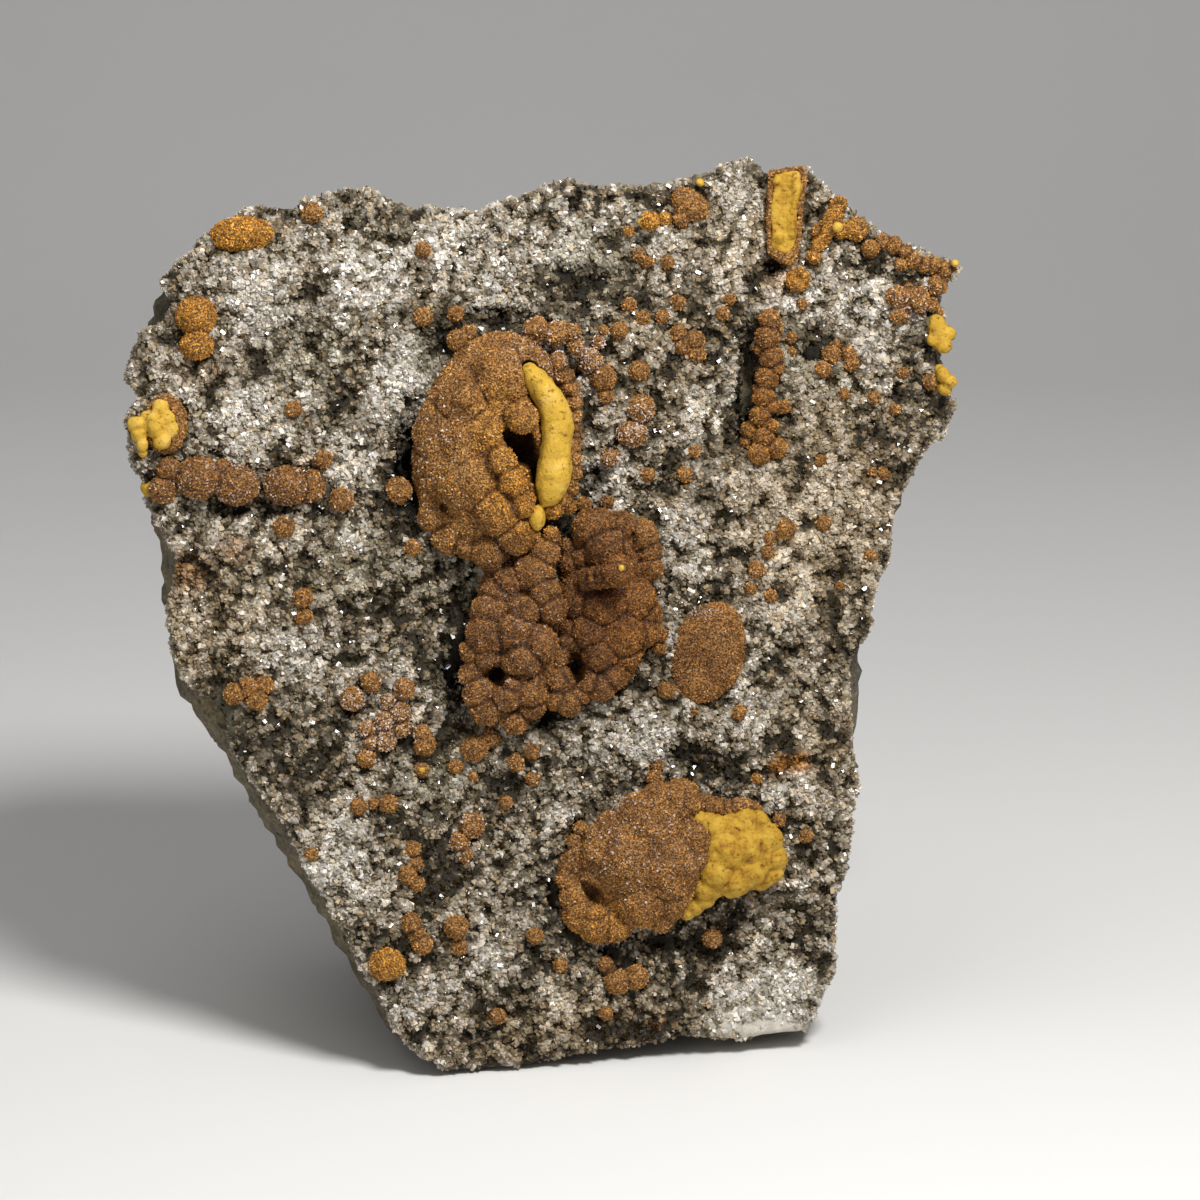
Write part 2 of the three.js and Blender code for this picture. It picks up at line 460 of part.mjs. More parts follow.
// The pocket at the left edge
const pocketCore = POCKET_CORE.map(standing);
const pocketShell = lumps(POCKET_SHELL.map(standing)).subtract(lumps(pocketCore, GAP));
piece("left_pocket_shell", onDruse(pocketShell), "gyrolite");
piece("left_pocket_core", onDruse(lumps(pocketCore)), "core");

// The tube at the top right
const tubeLevel = druseFront(47.5, 172);
const tubeCore = prism(TUBE_CORE, tubeLevel + TUBE_DEPTH.core[0], tubeLevel + TUBE_DEPTH.core[1]);
const tubeGap = prism(TUBE_CORE, tubeLevel + TUBE_DEPTH.core[0] - GAP, tubeLevel + TUBE_DEPTH.core[1] + GAP);
const tubeBox = new THREE.Box3().setFromBufferAttribute(tubeGap.attributes.position);
const tubeMiddle = tubeBox.getCenter(new THREE.Vector3());
moved(tubeGap, (p) => {
  p.x = tubeMiddle.x + (p.x - tubeMiddle.x) * 1.16;
  p.y = tubeMiddle.y + (p.y - tubeMiddle.y) * 1.06;
});
const [shellBack, shellFront] = TUBE_DEPTH.shell;
const tubeShell = toSolid(prism(TUBE_SHELL, tubeLevel + shellBack, tubeLevel + shellFront));
const tubeRoom = toSolid(moved(prism(TUBE_SHELL, tubeLevel - 2, tubeLevel + 4), (p) => {
  p.x = tubeMiddle.x + (p.x - tubeMiddle.x) * 1.08;
  p.y = tubeMiddle.y + (p.y - tubeMiddle.y) * 1.04;
}));
piece("tube_shell", onDruse(tubeShell.subtract(toSolid(tubeGap))), "gyrolite");
piece("tube_core", onDruse(toSolid(tubeCore)), "core");

// Fingers, chains, clusters and balls, each kept clear of the masses and of those before it
const CORES = ["left_pocket_chip", "right_core_upper", "right_core_lower"];
let taken = joined([domeRoom, leftRoom, rightRoom, mass(DISC, room), mass(LOWER_SHELL, room), lowerRoom]);
taken = taken.add(lumps(pocketCore, GAP)).add(lumps(POCKET_SHELL.map(standing), GAP)).add(tubeRoom);
for (const [name, specs] of Object.entries(CHAINS)) {
  const placed = specs.map(standing);
  piece(name, onDruse(lumps(placed)).subtract(taken), CORES.includes(name) ? "core" : "gyrolite");
  taken = taken.add(lumps(placed, GAP));
}

piece("heulandite_druse", makeDruse(taken), "heulandite");

const face = new THREE.Group();
face.name = "face";
face.rotation.x = Math.PI / 2 - LEAN;
face.add(...nodes);

const part = new THREE.Group();
part.name = "gyrolite_on_heulandite";
part.add(face);
part.updateMatrixWorld(true);
const box = new THREE.Box3().setFromObject(part, true);
const middle = box.getCenter(new THREE.Vector3());
part.position.set(-middle.x, -middle.y, -box.min.z);

export default part;
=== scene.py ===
"""Gyrolite on heulandite: a druse of small crystals on a basalt plate, with brown botryoidal gyrolite."""

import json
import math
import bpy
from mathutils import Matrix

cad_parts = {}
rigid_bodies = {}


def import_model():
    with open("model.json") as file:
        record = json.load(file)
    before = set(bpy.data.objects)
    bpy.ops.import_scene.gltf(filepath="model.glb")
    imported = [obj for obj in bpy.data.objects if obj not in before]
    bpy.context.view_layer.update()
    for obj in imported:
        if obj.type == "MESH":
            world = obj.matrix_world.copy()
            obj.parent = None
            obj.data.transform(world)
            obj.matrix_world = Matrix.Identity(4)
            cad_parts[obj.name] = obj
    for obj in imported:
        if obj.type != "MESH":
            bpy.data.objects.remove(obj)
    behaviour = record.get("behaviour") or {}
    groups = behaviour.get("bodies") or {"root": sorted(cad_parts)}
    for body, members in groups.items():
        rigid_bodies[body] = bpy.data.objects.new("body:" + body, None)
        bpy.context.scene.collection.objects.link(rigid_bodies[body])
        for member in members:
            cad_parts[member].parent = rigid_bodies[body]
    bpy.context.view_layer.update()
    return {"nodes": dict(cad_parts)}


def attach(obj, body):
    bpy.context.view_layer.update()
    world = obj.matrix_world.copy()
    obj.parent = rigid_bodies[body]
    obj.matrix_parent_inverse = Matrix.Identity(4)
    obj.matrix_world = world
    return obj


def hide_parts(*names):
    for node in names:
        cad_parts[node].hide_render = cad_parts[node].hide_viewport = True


bl_info = {
    "name": "Gyrolite on heulandite",
    "version": (1, 0, 0),
    "blender": (4, 5, 0),
    "location": "View3D > Sidebar > Specimen",
    "description": "Grows the druse, the gyrolite and its yellow cores on the plate of the packed model",
    "category": "Object",
}

import bmesh
import bpy
import numpy as np
from mathutils import Matrix, Vector
from mathutils.bvhtree import BVHTree

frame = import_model()

# The face of the plate: millimetres across it, up it and out of it
MM = 0.001
LEAN = math.radians(15)
FACE_ORIGIN = Vector((0.000083, -0.039808, 0.0))
FACE_TURN = Matrix.Rotation(math.pi / 2 - LEAN, 4, "X")
FACE = Matrix.Translation(FACE_ORIGIN) @ FACE_TURN @ Matrix.Scale(MM, 4)
OUTWARD = FACE_TURN @ Vector((0, 0, 1))
FAR_OUT = 60  # in front of everything on the face

# Lumps are balls (x, y, z, radius) or ovals (x, y, z, half width, half height, half depth, turn in
# degrees).
# A mass has its lumps above its level on the face, and seams of its own width between them.
DOME = {
    "level": 2.2,
    "seam": 0.8,
    "lumps": [
        (-11.4, 125, 0, 16, 23.4, 12.4, -8), (-15.8, 118.2, 6.5, 7), (-21.1, 127.4, 3.5, 6.2),
        (-11.6, 127.1, 8.4, 5), (-16, 134, 5.6, 6.4), (-9, 138, 6.8, 6.6), (-10.1, 112.2, 7.4, 5.6),
        (-3.6, 140.6, 7.2, 4.4), (-6.6, 107.9, 6.4, 4.6), (-11.6, 104.4, 4.4, 4), (-20.1, 107, 3.2, 3.6),
        (-17, 105.4, 3.6, 3), (-22.6, 111.2, 3, 3.8), (-2.7, 148.2, 2.6, 2.6), (1.2, 147.4, 2.4, 2.5),
        (4.4, 147.6, 1.6, 2), (5.4, 144.8, 1.6, 1.9), (2, 141.6, 6.4, 2.2), (3.2, 139, 6, 2.1),
        (4, 136.4, 5.6, 2), (4.5, 133.6, 5.2, 1.9), (4.8, 130.8, 5, 1.8), (4.9, 128, 4.8, 1.8),
        (4.9, 125.2, 4.8, 1.8), (4.8, 122.4, 4.8, 1.9), (4.4, 119.6, 4.8, 2.1), (3.6, 117, 5, 2.3),
        (2.4, 114.6, 5.4, 2.4), (0.6, 112.8, 6, 2.4),
    ],
    "holes": [
        (-5.2, 124.8, 11, 2.9, 4.6, 12, 14), (-7.6, 127, 11, 2.2, 2, 10), (-3, 120.6, 10.5, 1.3, 3.8, 10),
        (-20.8, 112.9, 7.6, 1, 1.1, 1.8),
    ],
    "knobs": [
        (-5.5, 130.2, 12, 3.3), (-9.4, 121.9, 11, 3.2), (-7, 117.6, 10.9, 3.3), (-5.4, 113.4, 10.2, 2.9),
    ],
}
DOME_CORE = [
    (-4, 139.8, 10.2, 1.6), (-2.6, 137.8, 10.2, 2.5), (-1.4, 136, 10, 2.8), (-0.2, 134.2, 9.8, 3),
    (0.7, 132.4, 9.6, 3.1), (1.3, 130.6, 9.4, 3.2), (1.6, 128.4, 9.2, 3.3), (1.4, 126.2, 9, 3.1),
    (1.1, 124.2, 9, 3), (1.1, 122.4, 9, 3.2), (1, 120.6, 9, 3.5), (0.8, 118.8, 9, 3.5),
    (0.5, 117.2, 9, 3.2), (0.1, 115.4, 9, 2.5), (-2.4, 110.6, 8.7, 1.7, 2.5, 2.1),
]
LEFT_LOBE = {
    "level": 1.36,
    "seam": 0.75,
    "lumps": [
        (-6.6, 87.6, 0.6, 8.4, 17.4, 6.8, 4), (0.4, 107.2, 6, 2), (-1, 103.6, 6, 3.2), (-3, 99.8, 6, 4.1),
        (-1, 95.8, 7, 3.3), (0.7, 92.7, 7, 3.1), (-5.1, 92.4, 7.6, 3.2), (-10.2, 95.1, 4.4, 3.9),
        (-7.8, 97.8, 5, 3.6), (-11.5, 91.7, 5.4, 4.4), (-12.2, 87.6, 6.4, 4.5), (-7.1, 88.2, 7.4, 4.2),
        (-2, 85.8, 7.2, 3.8), (-5.4, 82.6, 7.6, 3.8), (-15.6, 84.2, 5.6, 2.5), (-12.2, 82.2, 7.6, 2.3),
        (-15.3, 79.5, 5.6, 2.9), (-13.9, 76.1, 6, 3.5), (-12.6, 73, 5.4, 3.5), (-8.5, 75.4, 7, 3.1),
        (-7.8, 77.2, 7.6, 2.2), (-3.7, 75.7, 6.2, 3.1), (-3.4, 73.3, 5.2, 2.7),
        (-7.1, 70, 4.2, 3, 2.3, 2.6),
    ],
    "holes": [
        (-10.6, 79.4, 9, 2.1, 2.4, 10), (-6.6, 79.3, 10, 3.4, 0.8, 3.6), (-4.9, 95.3, 10, 1.6, 0.9, 4),
        (0.2, 77, 8, 1, 4, 6, 8),
    ],
    "knobs": [],
}
RIGHT_LOBE = {
    "level": -1.8,
    "seam": 0.75,
    "lumps": [
        (10.6, 93, 0, 10.2, 18.4, 7.6, -4), (9.2, 108.2, 4.6, 4.8), (14.3, 109, 3.6, 3.3),
        (18.6, 107.4, 3, 3.2), (20, 104.2, 2.6, 2.5), (20.3, 100.8, 2.6, 2.4), (10.9, 104.8, 6, 4.5),
        (14.4, 104.8, 6.2, 2.2), (3.4, 105.2, 4, 1.6), (3.8, 101.9, 4.4, 1.9), (6.2, 102.8, 5.6, 1.7),
        (5.8, 94.4, 5, 3.9), (10.9, 93.4, 6, 4.9), (16.7, 94.6, 4.6, 4.5), (19.6, 91.8, 3, 3),
        (19.2, 88.2, 3, 3.2), (14.3, 87.4, 5.4, 4.9), (8.5, 88.2, 5.4, 4.2), (4.4, 88.2, 4.6, 2.6),
        (4, 85.9, 4.8, 2.7), (2.4, 83.2, 4.8, 2.8), (3.8, 79.6, 5, 2.5), (1.7, 78.1, 5, 3),
        (1.2, 75, 4.6, 2.8), (3.8, 73.9, 4.8, 2.8), (6.2, 75.7, 5, 2.2), (7.9, 78.1, 5.4, 2.8),
        (10.2, 77.3, 5, 3.1), (12.6, 79.5, 4.8, 3.2), (10.2, 83.6, 5.8, 3.8), (15, 83.6, 4.4, 3.3),
    ],
    "holes": [
        (5.3, 80.8, 9, 2.1, 3.6, 10, 8), (16.4, 105.8, 8, 0.9, 3.6, 4.4, -8),
        (9, 96.2, 10.6, 3.4, 0.8, 3, 8),
    ],
    "knobs": [
        (7.6, 98.6, 9.4, 2.4), (9.4, 98.9, 11, 2.4), (11.4, 99.4, 12.8, 2.6), (13.6, 100.2, 14.8, 3.2),
    ],
}
LOBE_TIP = [(14.2, 100.7, 17.7, 0.7)]
DISC = {
    "level": -5.0,
    "seam": 0.1,
    "lumps": [
        (31.6, 84, -0.4, 7.6, 10.2, 3.8, -14), (33.4, 89, 0, 5.4, 5, 3), (29.8, 79, 0, 6, 5.4, 3),
        (27.2, 80.5, 0, 3.8, 4, 2.6), (34.6, 81.4, 0, 3.6, 5, 2.8),
    ],
    "holes": [],
    "knobs": [],
}
LOWER_SHELL = {
    "level": -3.8,
    "seam": 0.3,
    "lumps": [
        (17.8, 42, 0, 15, 12.4, 8.6, 26), (26, 54.2, 3, 4.6), (22, 54.4, 3.4, 3.9), (29, 53.6, 2.2, 2.8),
        (17.7, 51.6, 4.2, 4.3), (21, 48.2, 6, 5.2), (13.7, 47.8, 4.4, 4.2), (10.4, 43.6, 4.6, 4.5),
        (16.4, 41.8, 6.2, 6.6), (23.7, 40.6, 6.4, 6.4), (29, 46.4, 5, 3.8), (29.4, 42.6, 5, 3.4),
        (25.3, 35.2, 4.8, 4.5), (22, 31, 3.6, 3.2), (18.3, 34, 5.6, 5.1), (4.3, 41.6, 3, 2.8),
        (3.8, 38.4, 3, 2.7), (4.7, 34.9, 3.4, 3), (5.8, 31.4, 3.6, 3.4), (9.4, 29.2, 4, 3.6),
        (13.4, 29.1, 4, 3.2), (7.1, 43.2, 3.6, 2.8), (31.4, 53.2, 1.8, 2.2), (33.6, 52.8, 1.6, 2),
        (35.6, 52.7, 1.5, 1.9), (37.4, 52.8, 1.4, 1.9), (39.2, 52.9, 1.2, 1.8), (40.8, 52.6, 1, 1.7),
        (42, 51.2, 0.8, 1.5),
    ],
    "holes": [
        (8.7, 35.4, 8, 3.1, 2.2, 6.4, -40), (6.6, 37.4, 7, 1.8, 1.1, 4, -40),
        (10.6, 33.4, 8, 1, 1.6, 5, -20), (24.2, 46.2, 11.6, 3.8, 0.45, 2.4),
        (26, 41.8, 12.4, 2.6, 0.4, 1.6, -45),
    ],
    "knobs": [(9.1, 31.4, 5, 2.4)],
}
LOWER_CORE = [
    (38, 43.6, 1.6, 8.2, 7.4, 5, -12), (29.8, 50.6, 3, 1.9), (31.6, 50.6, 3.2, 1.6), (33.2, 48.4, 3.8, 3),
    (36.4, 48.4, 3.6, 3.2), (39.4, 49.6, 3, 3), (41.4, 49.4, 2.6, 2.8), (43.4, 46.4, 2.6, 3.2),
    (44.6, 42.6, 2, 3), (44.6, 40.2, 1.6, 2.4), (42.4, 38.8, 1.8, 2.6), (40, 40.4, 3, 3.8),
    (39.2, 45, 4, 4), (35, 44, 4.6, 4.4), (33.4, 40.4, 4.4, 4), (36.6, 38.6, 3.2, 3.8),
    (31.4, 37.2, 3.6, 3.2), (30.8, 35, 2.8, 2.4), (29, 33.4, 2.4, 2.1), (27.4, 32, 1.8, 1.7),
]
CORE_PITS = [
    (41, 47.8, 6.6, 0.7), (40.4, 45.2, 7.6, 0.6), (40, 43.6, 7.4, 0.6), (43.4, 41.2, 5.4, 0.8, 0.5, 0.8),
    (34.8, 46.8, 8.2, 0.5), (38.6, 46.6, 8, 0.5),
]
# Where the shell of the lower mass has broken away from its core
LOWER_BREAK = [
    (28, 51.5), (30, 50.2), (31.9, 47.5), (32.1, 43.8), (30.9, 40.8), (29.6, 37.9), (27.6, 34.2),
    (26, 30.6), (26, 26), (60, 24), (60, 51), (44, 49.6), (42.4, 51), (40.6, 52.3), (38.6, 52),
    (37.6, 51), (35.3, 51), (33.9, 50), (32.3, 51.7), (30.6, 52.3), (29, 52.2),
]

# Grown along the druse: each lump stands on the face where it is
CHAINS = {
    "gyrolite_finger_row": [
        (-74.8, 120.2, 1, 2.4), (-76, 116.2, 1.2, 2.8), (-69, 118.4, 2, 4.7, 4.2, 3.8),
        (-64.6, 119.6, 1.4, 2.5), (-61.6, 117, 2, 4.6, 4, 3.6), (-51.8, 117, 2, 4.6, 4, 3.8),
        (-47.2, 116.9, 1.4, 2.9, 3.3, 2.6),
    ],
    "gyrolite_upright_finger": [
        (44.2, 150.8, 2.2, 2.2), (43.8, 147.4, 2.6, 2.7), (44.6, 143.2, 2.6, 2.5), (43.6, 139, 2.4, 2.4),
        (43, 135.2, 2.2, 2.3), (42.4, 131.6, 2, 2.3), (40.6, 128.4, 1.4, 2.2), (43, 127, 1.4, 2.2),
        (45.6, 125, 1.2, 2.1), (42, 123.8, 1.2, 2.2), (45.4, 149.2, 2, 1.6), (42.5, 145.2, 2, 1.6),
        (45.7, 141.2, 2, 1.5), (42.2, 137, 1.8, 1.5), (44.4, 133.4, 1.8, 1.6), (44.2, 129.4, 1.4, 1.7),
        (39.6, 126.4, 0.8, 1.4),
    ],
    "broken_tube": [
        (55.7, 169, 1.9, 6.6, 1.8, 1.9, 62), (58.2, 174.2, 1, 1.8), (54.6, 168.4, 1, 1.9),
        (53.2, 163.8, 0.8, 1.6),
    ],
    "ridge_knobs": [(58.8, 169.2, 0.8, 1.9), (61.8, 169.4, 1, 2.4)],
    "ridge_chain": [
        (64.7, 165.4, 1, 1.8), (67.4, 167, 1, 1.7), (69.4, 166.2, 1, 1.9), (71.8, 165, 0.8, 1.5),
        (73.7, 163.2, 0.9, 1.7), (75.6, 162.3, 0.9, 1.7), (77.6, 162.2, 0.9, 1.8),
        (79.8, 161.4, 0.9, 1.8), (81.2, 161.9, 0.6, 1.3), (78.4, 158.2, 1, 2.1), (79.6, 159.6, 0.8, 1.4),
    ],
    "right_cluster": [
        (70.2, 155.7, 1.2, 2.5, 2.2, 2.3), (74.3, 155.2, 1.2, 2.4, 2.8, 2.4), (72.2, 154, 0.9, 2),
        (70.5, 152, 1, 2, 1.5, 1.8), (72.7, 157.8, 0.6, 0.9), (77.2, 154.4, 0.4, 1.5),
        (78.6, 152.6, 0.2, 1.2, 1.4, 0.8),
    ],
    "top_oval": [(28.2, 174, 0.8, 4.4, 2.8, 2.4, -35), (26.4, 171, 0.6, 1.7)],
    "top_left_oval": [(-60.8, 166.6, 1, 6.4, 3.5, 3.4, 4)],
    "balls_left_notch": [(-69.6, 150.4, 1.4, 4), (-69.4, 144.4, 1, 3.4, 2.8, 3)],
    "ball_left_low": [(-41.2, 114.2, 1, 2.4)],
    "ball_by_dome": [(-30.2, 116.2, 1.2, 2.8)],
    "balls_left_trio": [
        (-62.2, 75.8, 0.8, 2.1), (-59.4, 77, 0.8, 2.1), (-56.6, 77.4, 0.7, 2), (-57.8, 74.6, 0.8, 2.1),
    ],
    "frosted_cluster": [
        (-32, 74, 0.7, 1.8), (-29.8, 72.2, 0.9, 2.2), (-33, 70.4, 0.8, 1.9), (-29.5, 69, 0.7, 1.9),
        (-36.2, 68.7, 0.6, 1.8), (-35.5, 66.4, 0.7, 1.7), (-32.6, 66.4, 0.9, 2.1),
    ],
    "balls_under_lobe": [(-15, 64.8, 1, 2.6), (-11.8, 67, 0.8, 2)],
    "flat_double": [(-15.6, 49.4, 0.8, 2.6), (-18, 46.2, 0.7, 2.1), (-16.8, 43.2, 0.3, 1.4)],
    "coarse_ball": [(-32.2, 22.2, 1, 3.8, 3.2, 3)],
    "balls_low_pair": [(-27.4, 30.2, 0.8, 2.1), (-25.4, 26, 0.8, 2.1), (-26.4, 28.2, 0.6, 1.8)],
    "balls_bottom": [
        (11, 21.4, 0.7, 1.7), (13.4, 18, 1, 2.6), (17.2, 18.8, 1, 2.5), (12.2, 19.8, 0.4, 1.5),
    ],
    "balls_by_dome": [(8, 142.2, 1, 2.6), (10.6, 138.8, 1, 2.7), (11.2, 135.2, 0.5, 1.5)],
    "ball_mid": [(18.2, 132.8, 1.1, 2.8)],
    "ball_mid_frosted": [(16.4, 127.8, 1, 3.2, 2.8, 2.6)],
    "balls_top_cluster": [
        (25.8, 147.8, 0.7, 1.8), (29, 146.6, 0.7, 2), (26.6, 145.4, 0.6, 1.8), (29.4, 143.8, 0.6, 1.8),
    ],
    "ring_ball": [(49.8, 159, 0.9, 2.5)],
}
CORE_CHAINS = {
    "left_pocket_core": [
        (-76.3, 132, 1.6, 1.8), (-75, 130, 1.5, 1.7), (-74.1, 127.8, 1.5, 1.7),
        (-77.4, 128.6, 2, 1.9, 2.8, 2, 14), (-76, 125.6, 1.9, 1.8), (-78.8, 130.2, 1.5, 1.5),
        (-81, 128.9, 1.2, 1.9, 1.6, 1.7), (-80.4, 127, 1.2, 1.7), (-79.8, 125, 1.2, 1.2, 1.7, 1.2),
        (-79.8, 123.3, 1, 0.9),
    ],
    "left_pocket_chip": [(-79.2, 116.5, 0.8, 1.4, 1.8, 1.4)],
    "right_core_upper": [
        (78.8, 148.6, 0.8, 2.2, 4, 2.4, 14), (78, 151, 0.8, 1.4), (80.8, 148.4, 0.7, 1.5),
        (79.8, 145.8, 0.8, 1.6), (77.4, 147.2, 0.8, 1.3),
    ],
    "right_core_lower": [
        (78.8, 141.2, 1.4, 1.1), (79.6, 140, 1.4, 1.5), (81, 138.6, 1.3, 1.4), (80, 137.2, 1.3, 1.5),
    ],
}

# Open mouths of balls and tubes, as lumps cut out of them
MOUTHS = {"ring_ball": [(49.9, 159.3, 3.5, 1.5, 1.4, 2.2)]}
# The broken tube at the top right: its core, its shell, how far each stands out and the core's raised edge
TUBE_CORE = [
    (45, 180.2), (47.4, 180.4), (50, 180.8), (50.4, 179), (49.8, 174), (49.6, 169), (49.2, 165.6),
    (47.4, 163.8), (44.8, 165), (44.4, 168), (44.5, 174),
]
TUBE_SHELL = [
    (44.2, 180.8), (47.4, 181.2), (50.6, 181.8), (51.6, 179.4), (50.8, 174), (50.5, 169), (50, 165),
    (48.8, 162), (47, 162.2), (44, 164.2), (43.6, 168), (43.7, 174),
]
TUBE_FRONT = {"shell": 2.3, "core": 2.5}
TUBE_RIDGE = [
    (49.4, 179, 0, 0.9), (49.6, 177.4, 0.2, 1), (49.4, 175.8, 0.2, 0.9), (49.2, 174.2, 0.2, 0.9),
    (49, 172.6, 0.1, 1), (48.8, 171, 0.1, 0.9), (48.6, 169.4, 0, 0.9), (48.6, 167.8, -0.1, 0.9),
    (45.4, 178.4, -0.2, 1), (46, 167, 0, 1.1),
]
# Small balls on the druse and on the edges of the masses: x, y, radius
SMALL_BALLS = [
    (-25.2, 164, 1.6), (-18.8, 61.2, 1.5), (-6.8, 62, 1.7), (-3.6, 64.2, 1.6), (-25.4, 60.6, 1.5),
    (-3, 27.2, 1.7), (2, 21.4, 1.5), (-10.4, 11.4, 1.6), (11.2, 11.6, 1.5), (32.6, 26.2, 2),
    (51.6, 46.8, 1.5), (38, 71.8, 1.5), (23.2, 76.2, 1.8), (17.8, 163.8, 1.5), (23.6, 162.4, 1.5),
    (25.6, 154.2, 1.6), (34.6, 152, 1.5), (13.8, 148.4, 1.7), (19.6, 119.6, 1.5), (27, 119.6, 1.6),
    (47, 133.4, 1.5), (55.2, 109.8, 1.6), (41.6, 100.4, 1.8), (-50.6, 132.2, 1.7), (-44.8, 122.2, 1.9),
    (-27.2, 104.8, 1.7), (-18.8, 151.4, 1.7), (-25.2, 150.6, 1.9), (-36.4, 63, 1.9), (55, 141, 1.7),
    (6.8, 113.4, 1.7), (3.8, 113, 1.5), (-47, 171, 2.1), (-52.2, 108.8, 2.2), (-35.4, 78, 2.1),
    (-28.8, 76.8, 2.1), (17.8, 140.4, 2.1), (47.4, 108.6, 2.1), (12, 122.8, 1.9), (-48.6, 94.8, 2),
    (-48.6, 91.2, 1.8), (-37.8, 53.6, 1.7), (-32, 54, 1.9), (-27.2, 45, 1.7), (-26.6, 42, 1.5),
    (-28.2, 39.8, 1.9), (-26.4, 38, 1.6), (15.8, 153.6, 1.6), (18.6, 150.9, 1.6), (-18.4, 146.2, 2.2),
    (-16.2, 147.6, 1.7), (-25.4, 67.8, 1.9), (-24.8, 65.6, 2.2), (-18.6, 29.4, 2.5), (-18.2, 25.4, 1.8),
    (77.2, 138.8, 1.8), (56.8, 144, 1.9), (60.4, 144.2, 1.6), (60.8, 142.2, 1.6), (20, 170.4, 2),
    (23, 171, 1.5), (-39, 74.8, 2.5), (-15.4, 59.2, 1.1), (-3.4, 58.6, 1.4), (-8.8, 54, 1.4),
    (46.2, 50, 1.4), (41.6, 58.4, 1.2), (29, 71.8, 0.8), (-47, 44.2, 1.4), (19.6, 162.4, 1.3),
    (22.4, 151.2, 1.4), (36, 154.8, 1.3), (50.8, 154.2, 1.2), (10.6, 148.4, 1.1), (9.6, 146, 1.4),
    (29, 124.2, 1.3), (59.4, 136, 1.2), (65.4, 135.4, 1.3), (69.6, 133, 1.2), (71.4, 140.4, 1.3),
    (67.4, 120, 1.3), (65, 120.4, 1), (64.6, 103.4, 1.3), (58.4, 97.2, 1), (40.4, 96.8, 1.2),
    (44.4, 95.2, 1.4), (71, 162.2, 1.4), (48.6, 147.4, 1.1), (48.6, 144.4, 1.1), (54.6, 122.6, 1.2),
    (11.4, 114, 1.4), (22.4, 87.4, 1.4), (21.8, 84.8, 1.4), (44.4, 106.8, 1.3), (43.8, 104, 1.4),
    (57.8, 146, 1.1), (-35, 54, 1.2), (15.8, 168.4, 1.2), (6.2, 48.6, 1.6), (8.8, 48, 1.6),
    (4.8, 46, 1.6), (20.8, 58.8, 1.6), (21.6, 61, 1.2),
]
# Specks of yellow core on broken balls and tubes: x, y, lift, radius
CORE_SPECKS = [
    (30.2, 178.4, 0.4, 0.9), (-25.4, 60.6, 1.5, 0.7), (57.8, 169.4, 2.4, 1.1), (81.9, 162.6, 2, 0.8),
    (20.6, 171.2, 1.6, 1), (18.2, 170.2, 1, 0.8),
]

# Where the gyrolite is golden, frosted or dark, and how the druse changes over the face:
# x, y, half width, half height, how much
GOLD = [
    (-4, 115, 9, 10, 1), (-9, 128, 7, 10, 0.55), (-61, 166.6, 9, 7, 1), (-69.5, 148, 7, 9, 0.8),
    (-32, 22, 6, 6, 0.9), (17, 90, 7, 12, 0.5), (10, 30, 9, 5, 0.45), (44, 130, 6, 12, 0.5),
    (57, 168, 6, 9, 0.8), (20, 171, 5, 4, 1), (49.8, 159, 3.6, 3.6, 0.9),
]
FROST = [
    (8, 142.4, 3, 3, 0.9), (29.5, 92, 4, 1.5, 1), (-39, 74.8, 3, 3, 0.8), (72.5, 155, 5, 4, 0.4),
    (0, 145, 8, 6, 0.4), (-33, 70, 7, 7, 1), (17, 130, 5, 5, 0.8), (12, 122.8, 3, 3, 0.8),
    (9.6, 146, 2.5, 2.5, 0.8), (-60, 117.5, 20, 7, 0.35), (-8, 88, 9, 18, 0.15), (-24, 128, 7, 18, 0.15),
    (18, 46, 12, 10, 0.2), (-16.5, 47, 5, 6, 0.35),
]
# Darker gyrolite; the last patch, under the horn of the right lobe, is a painted shadow
DARK = [
    (-7, 88, 12, 22, 0.5), (11, 93, 13, 22, 0.75), (31, 84, 9, 12, 0.3), (18, 42, 17, 14, 0.2),
    (43.5, 137, 5, 16, 0.45), (-60, 117.5, 20, 7, 0.35), (9.6, 95.4, 5.4, 2.2, 1),
]
# Where a core's yellow is darker and browner; on the lower core this is painted shade, as it faces down
DARKER_CORES = [(38, 43, 13, 13, 1), (47.5, 173, 6, 12, 1), (79.5, 144, 6, 12, 0.4)]
RUST = [
    (48.8, 61.8, 4.4, 2.4, 1), (45.4, 60.6, 2, 2, 1), (21, 8.8, 1.8, 1.2, 1), (24.2, 10, 1.8, 1.2, 0.9),
    (-71, 100, 5, 4, 0.5), (-69, 139, 6, 3, 0.2), (46, 160, 4, 4, 0.35), (-62, 104, 4, 3, 0.4),
]
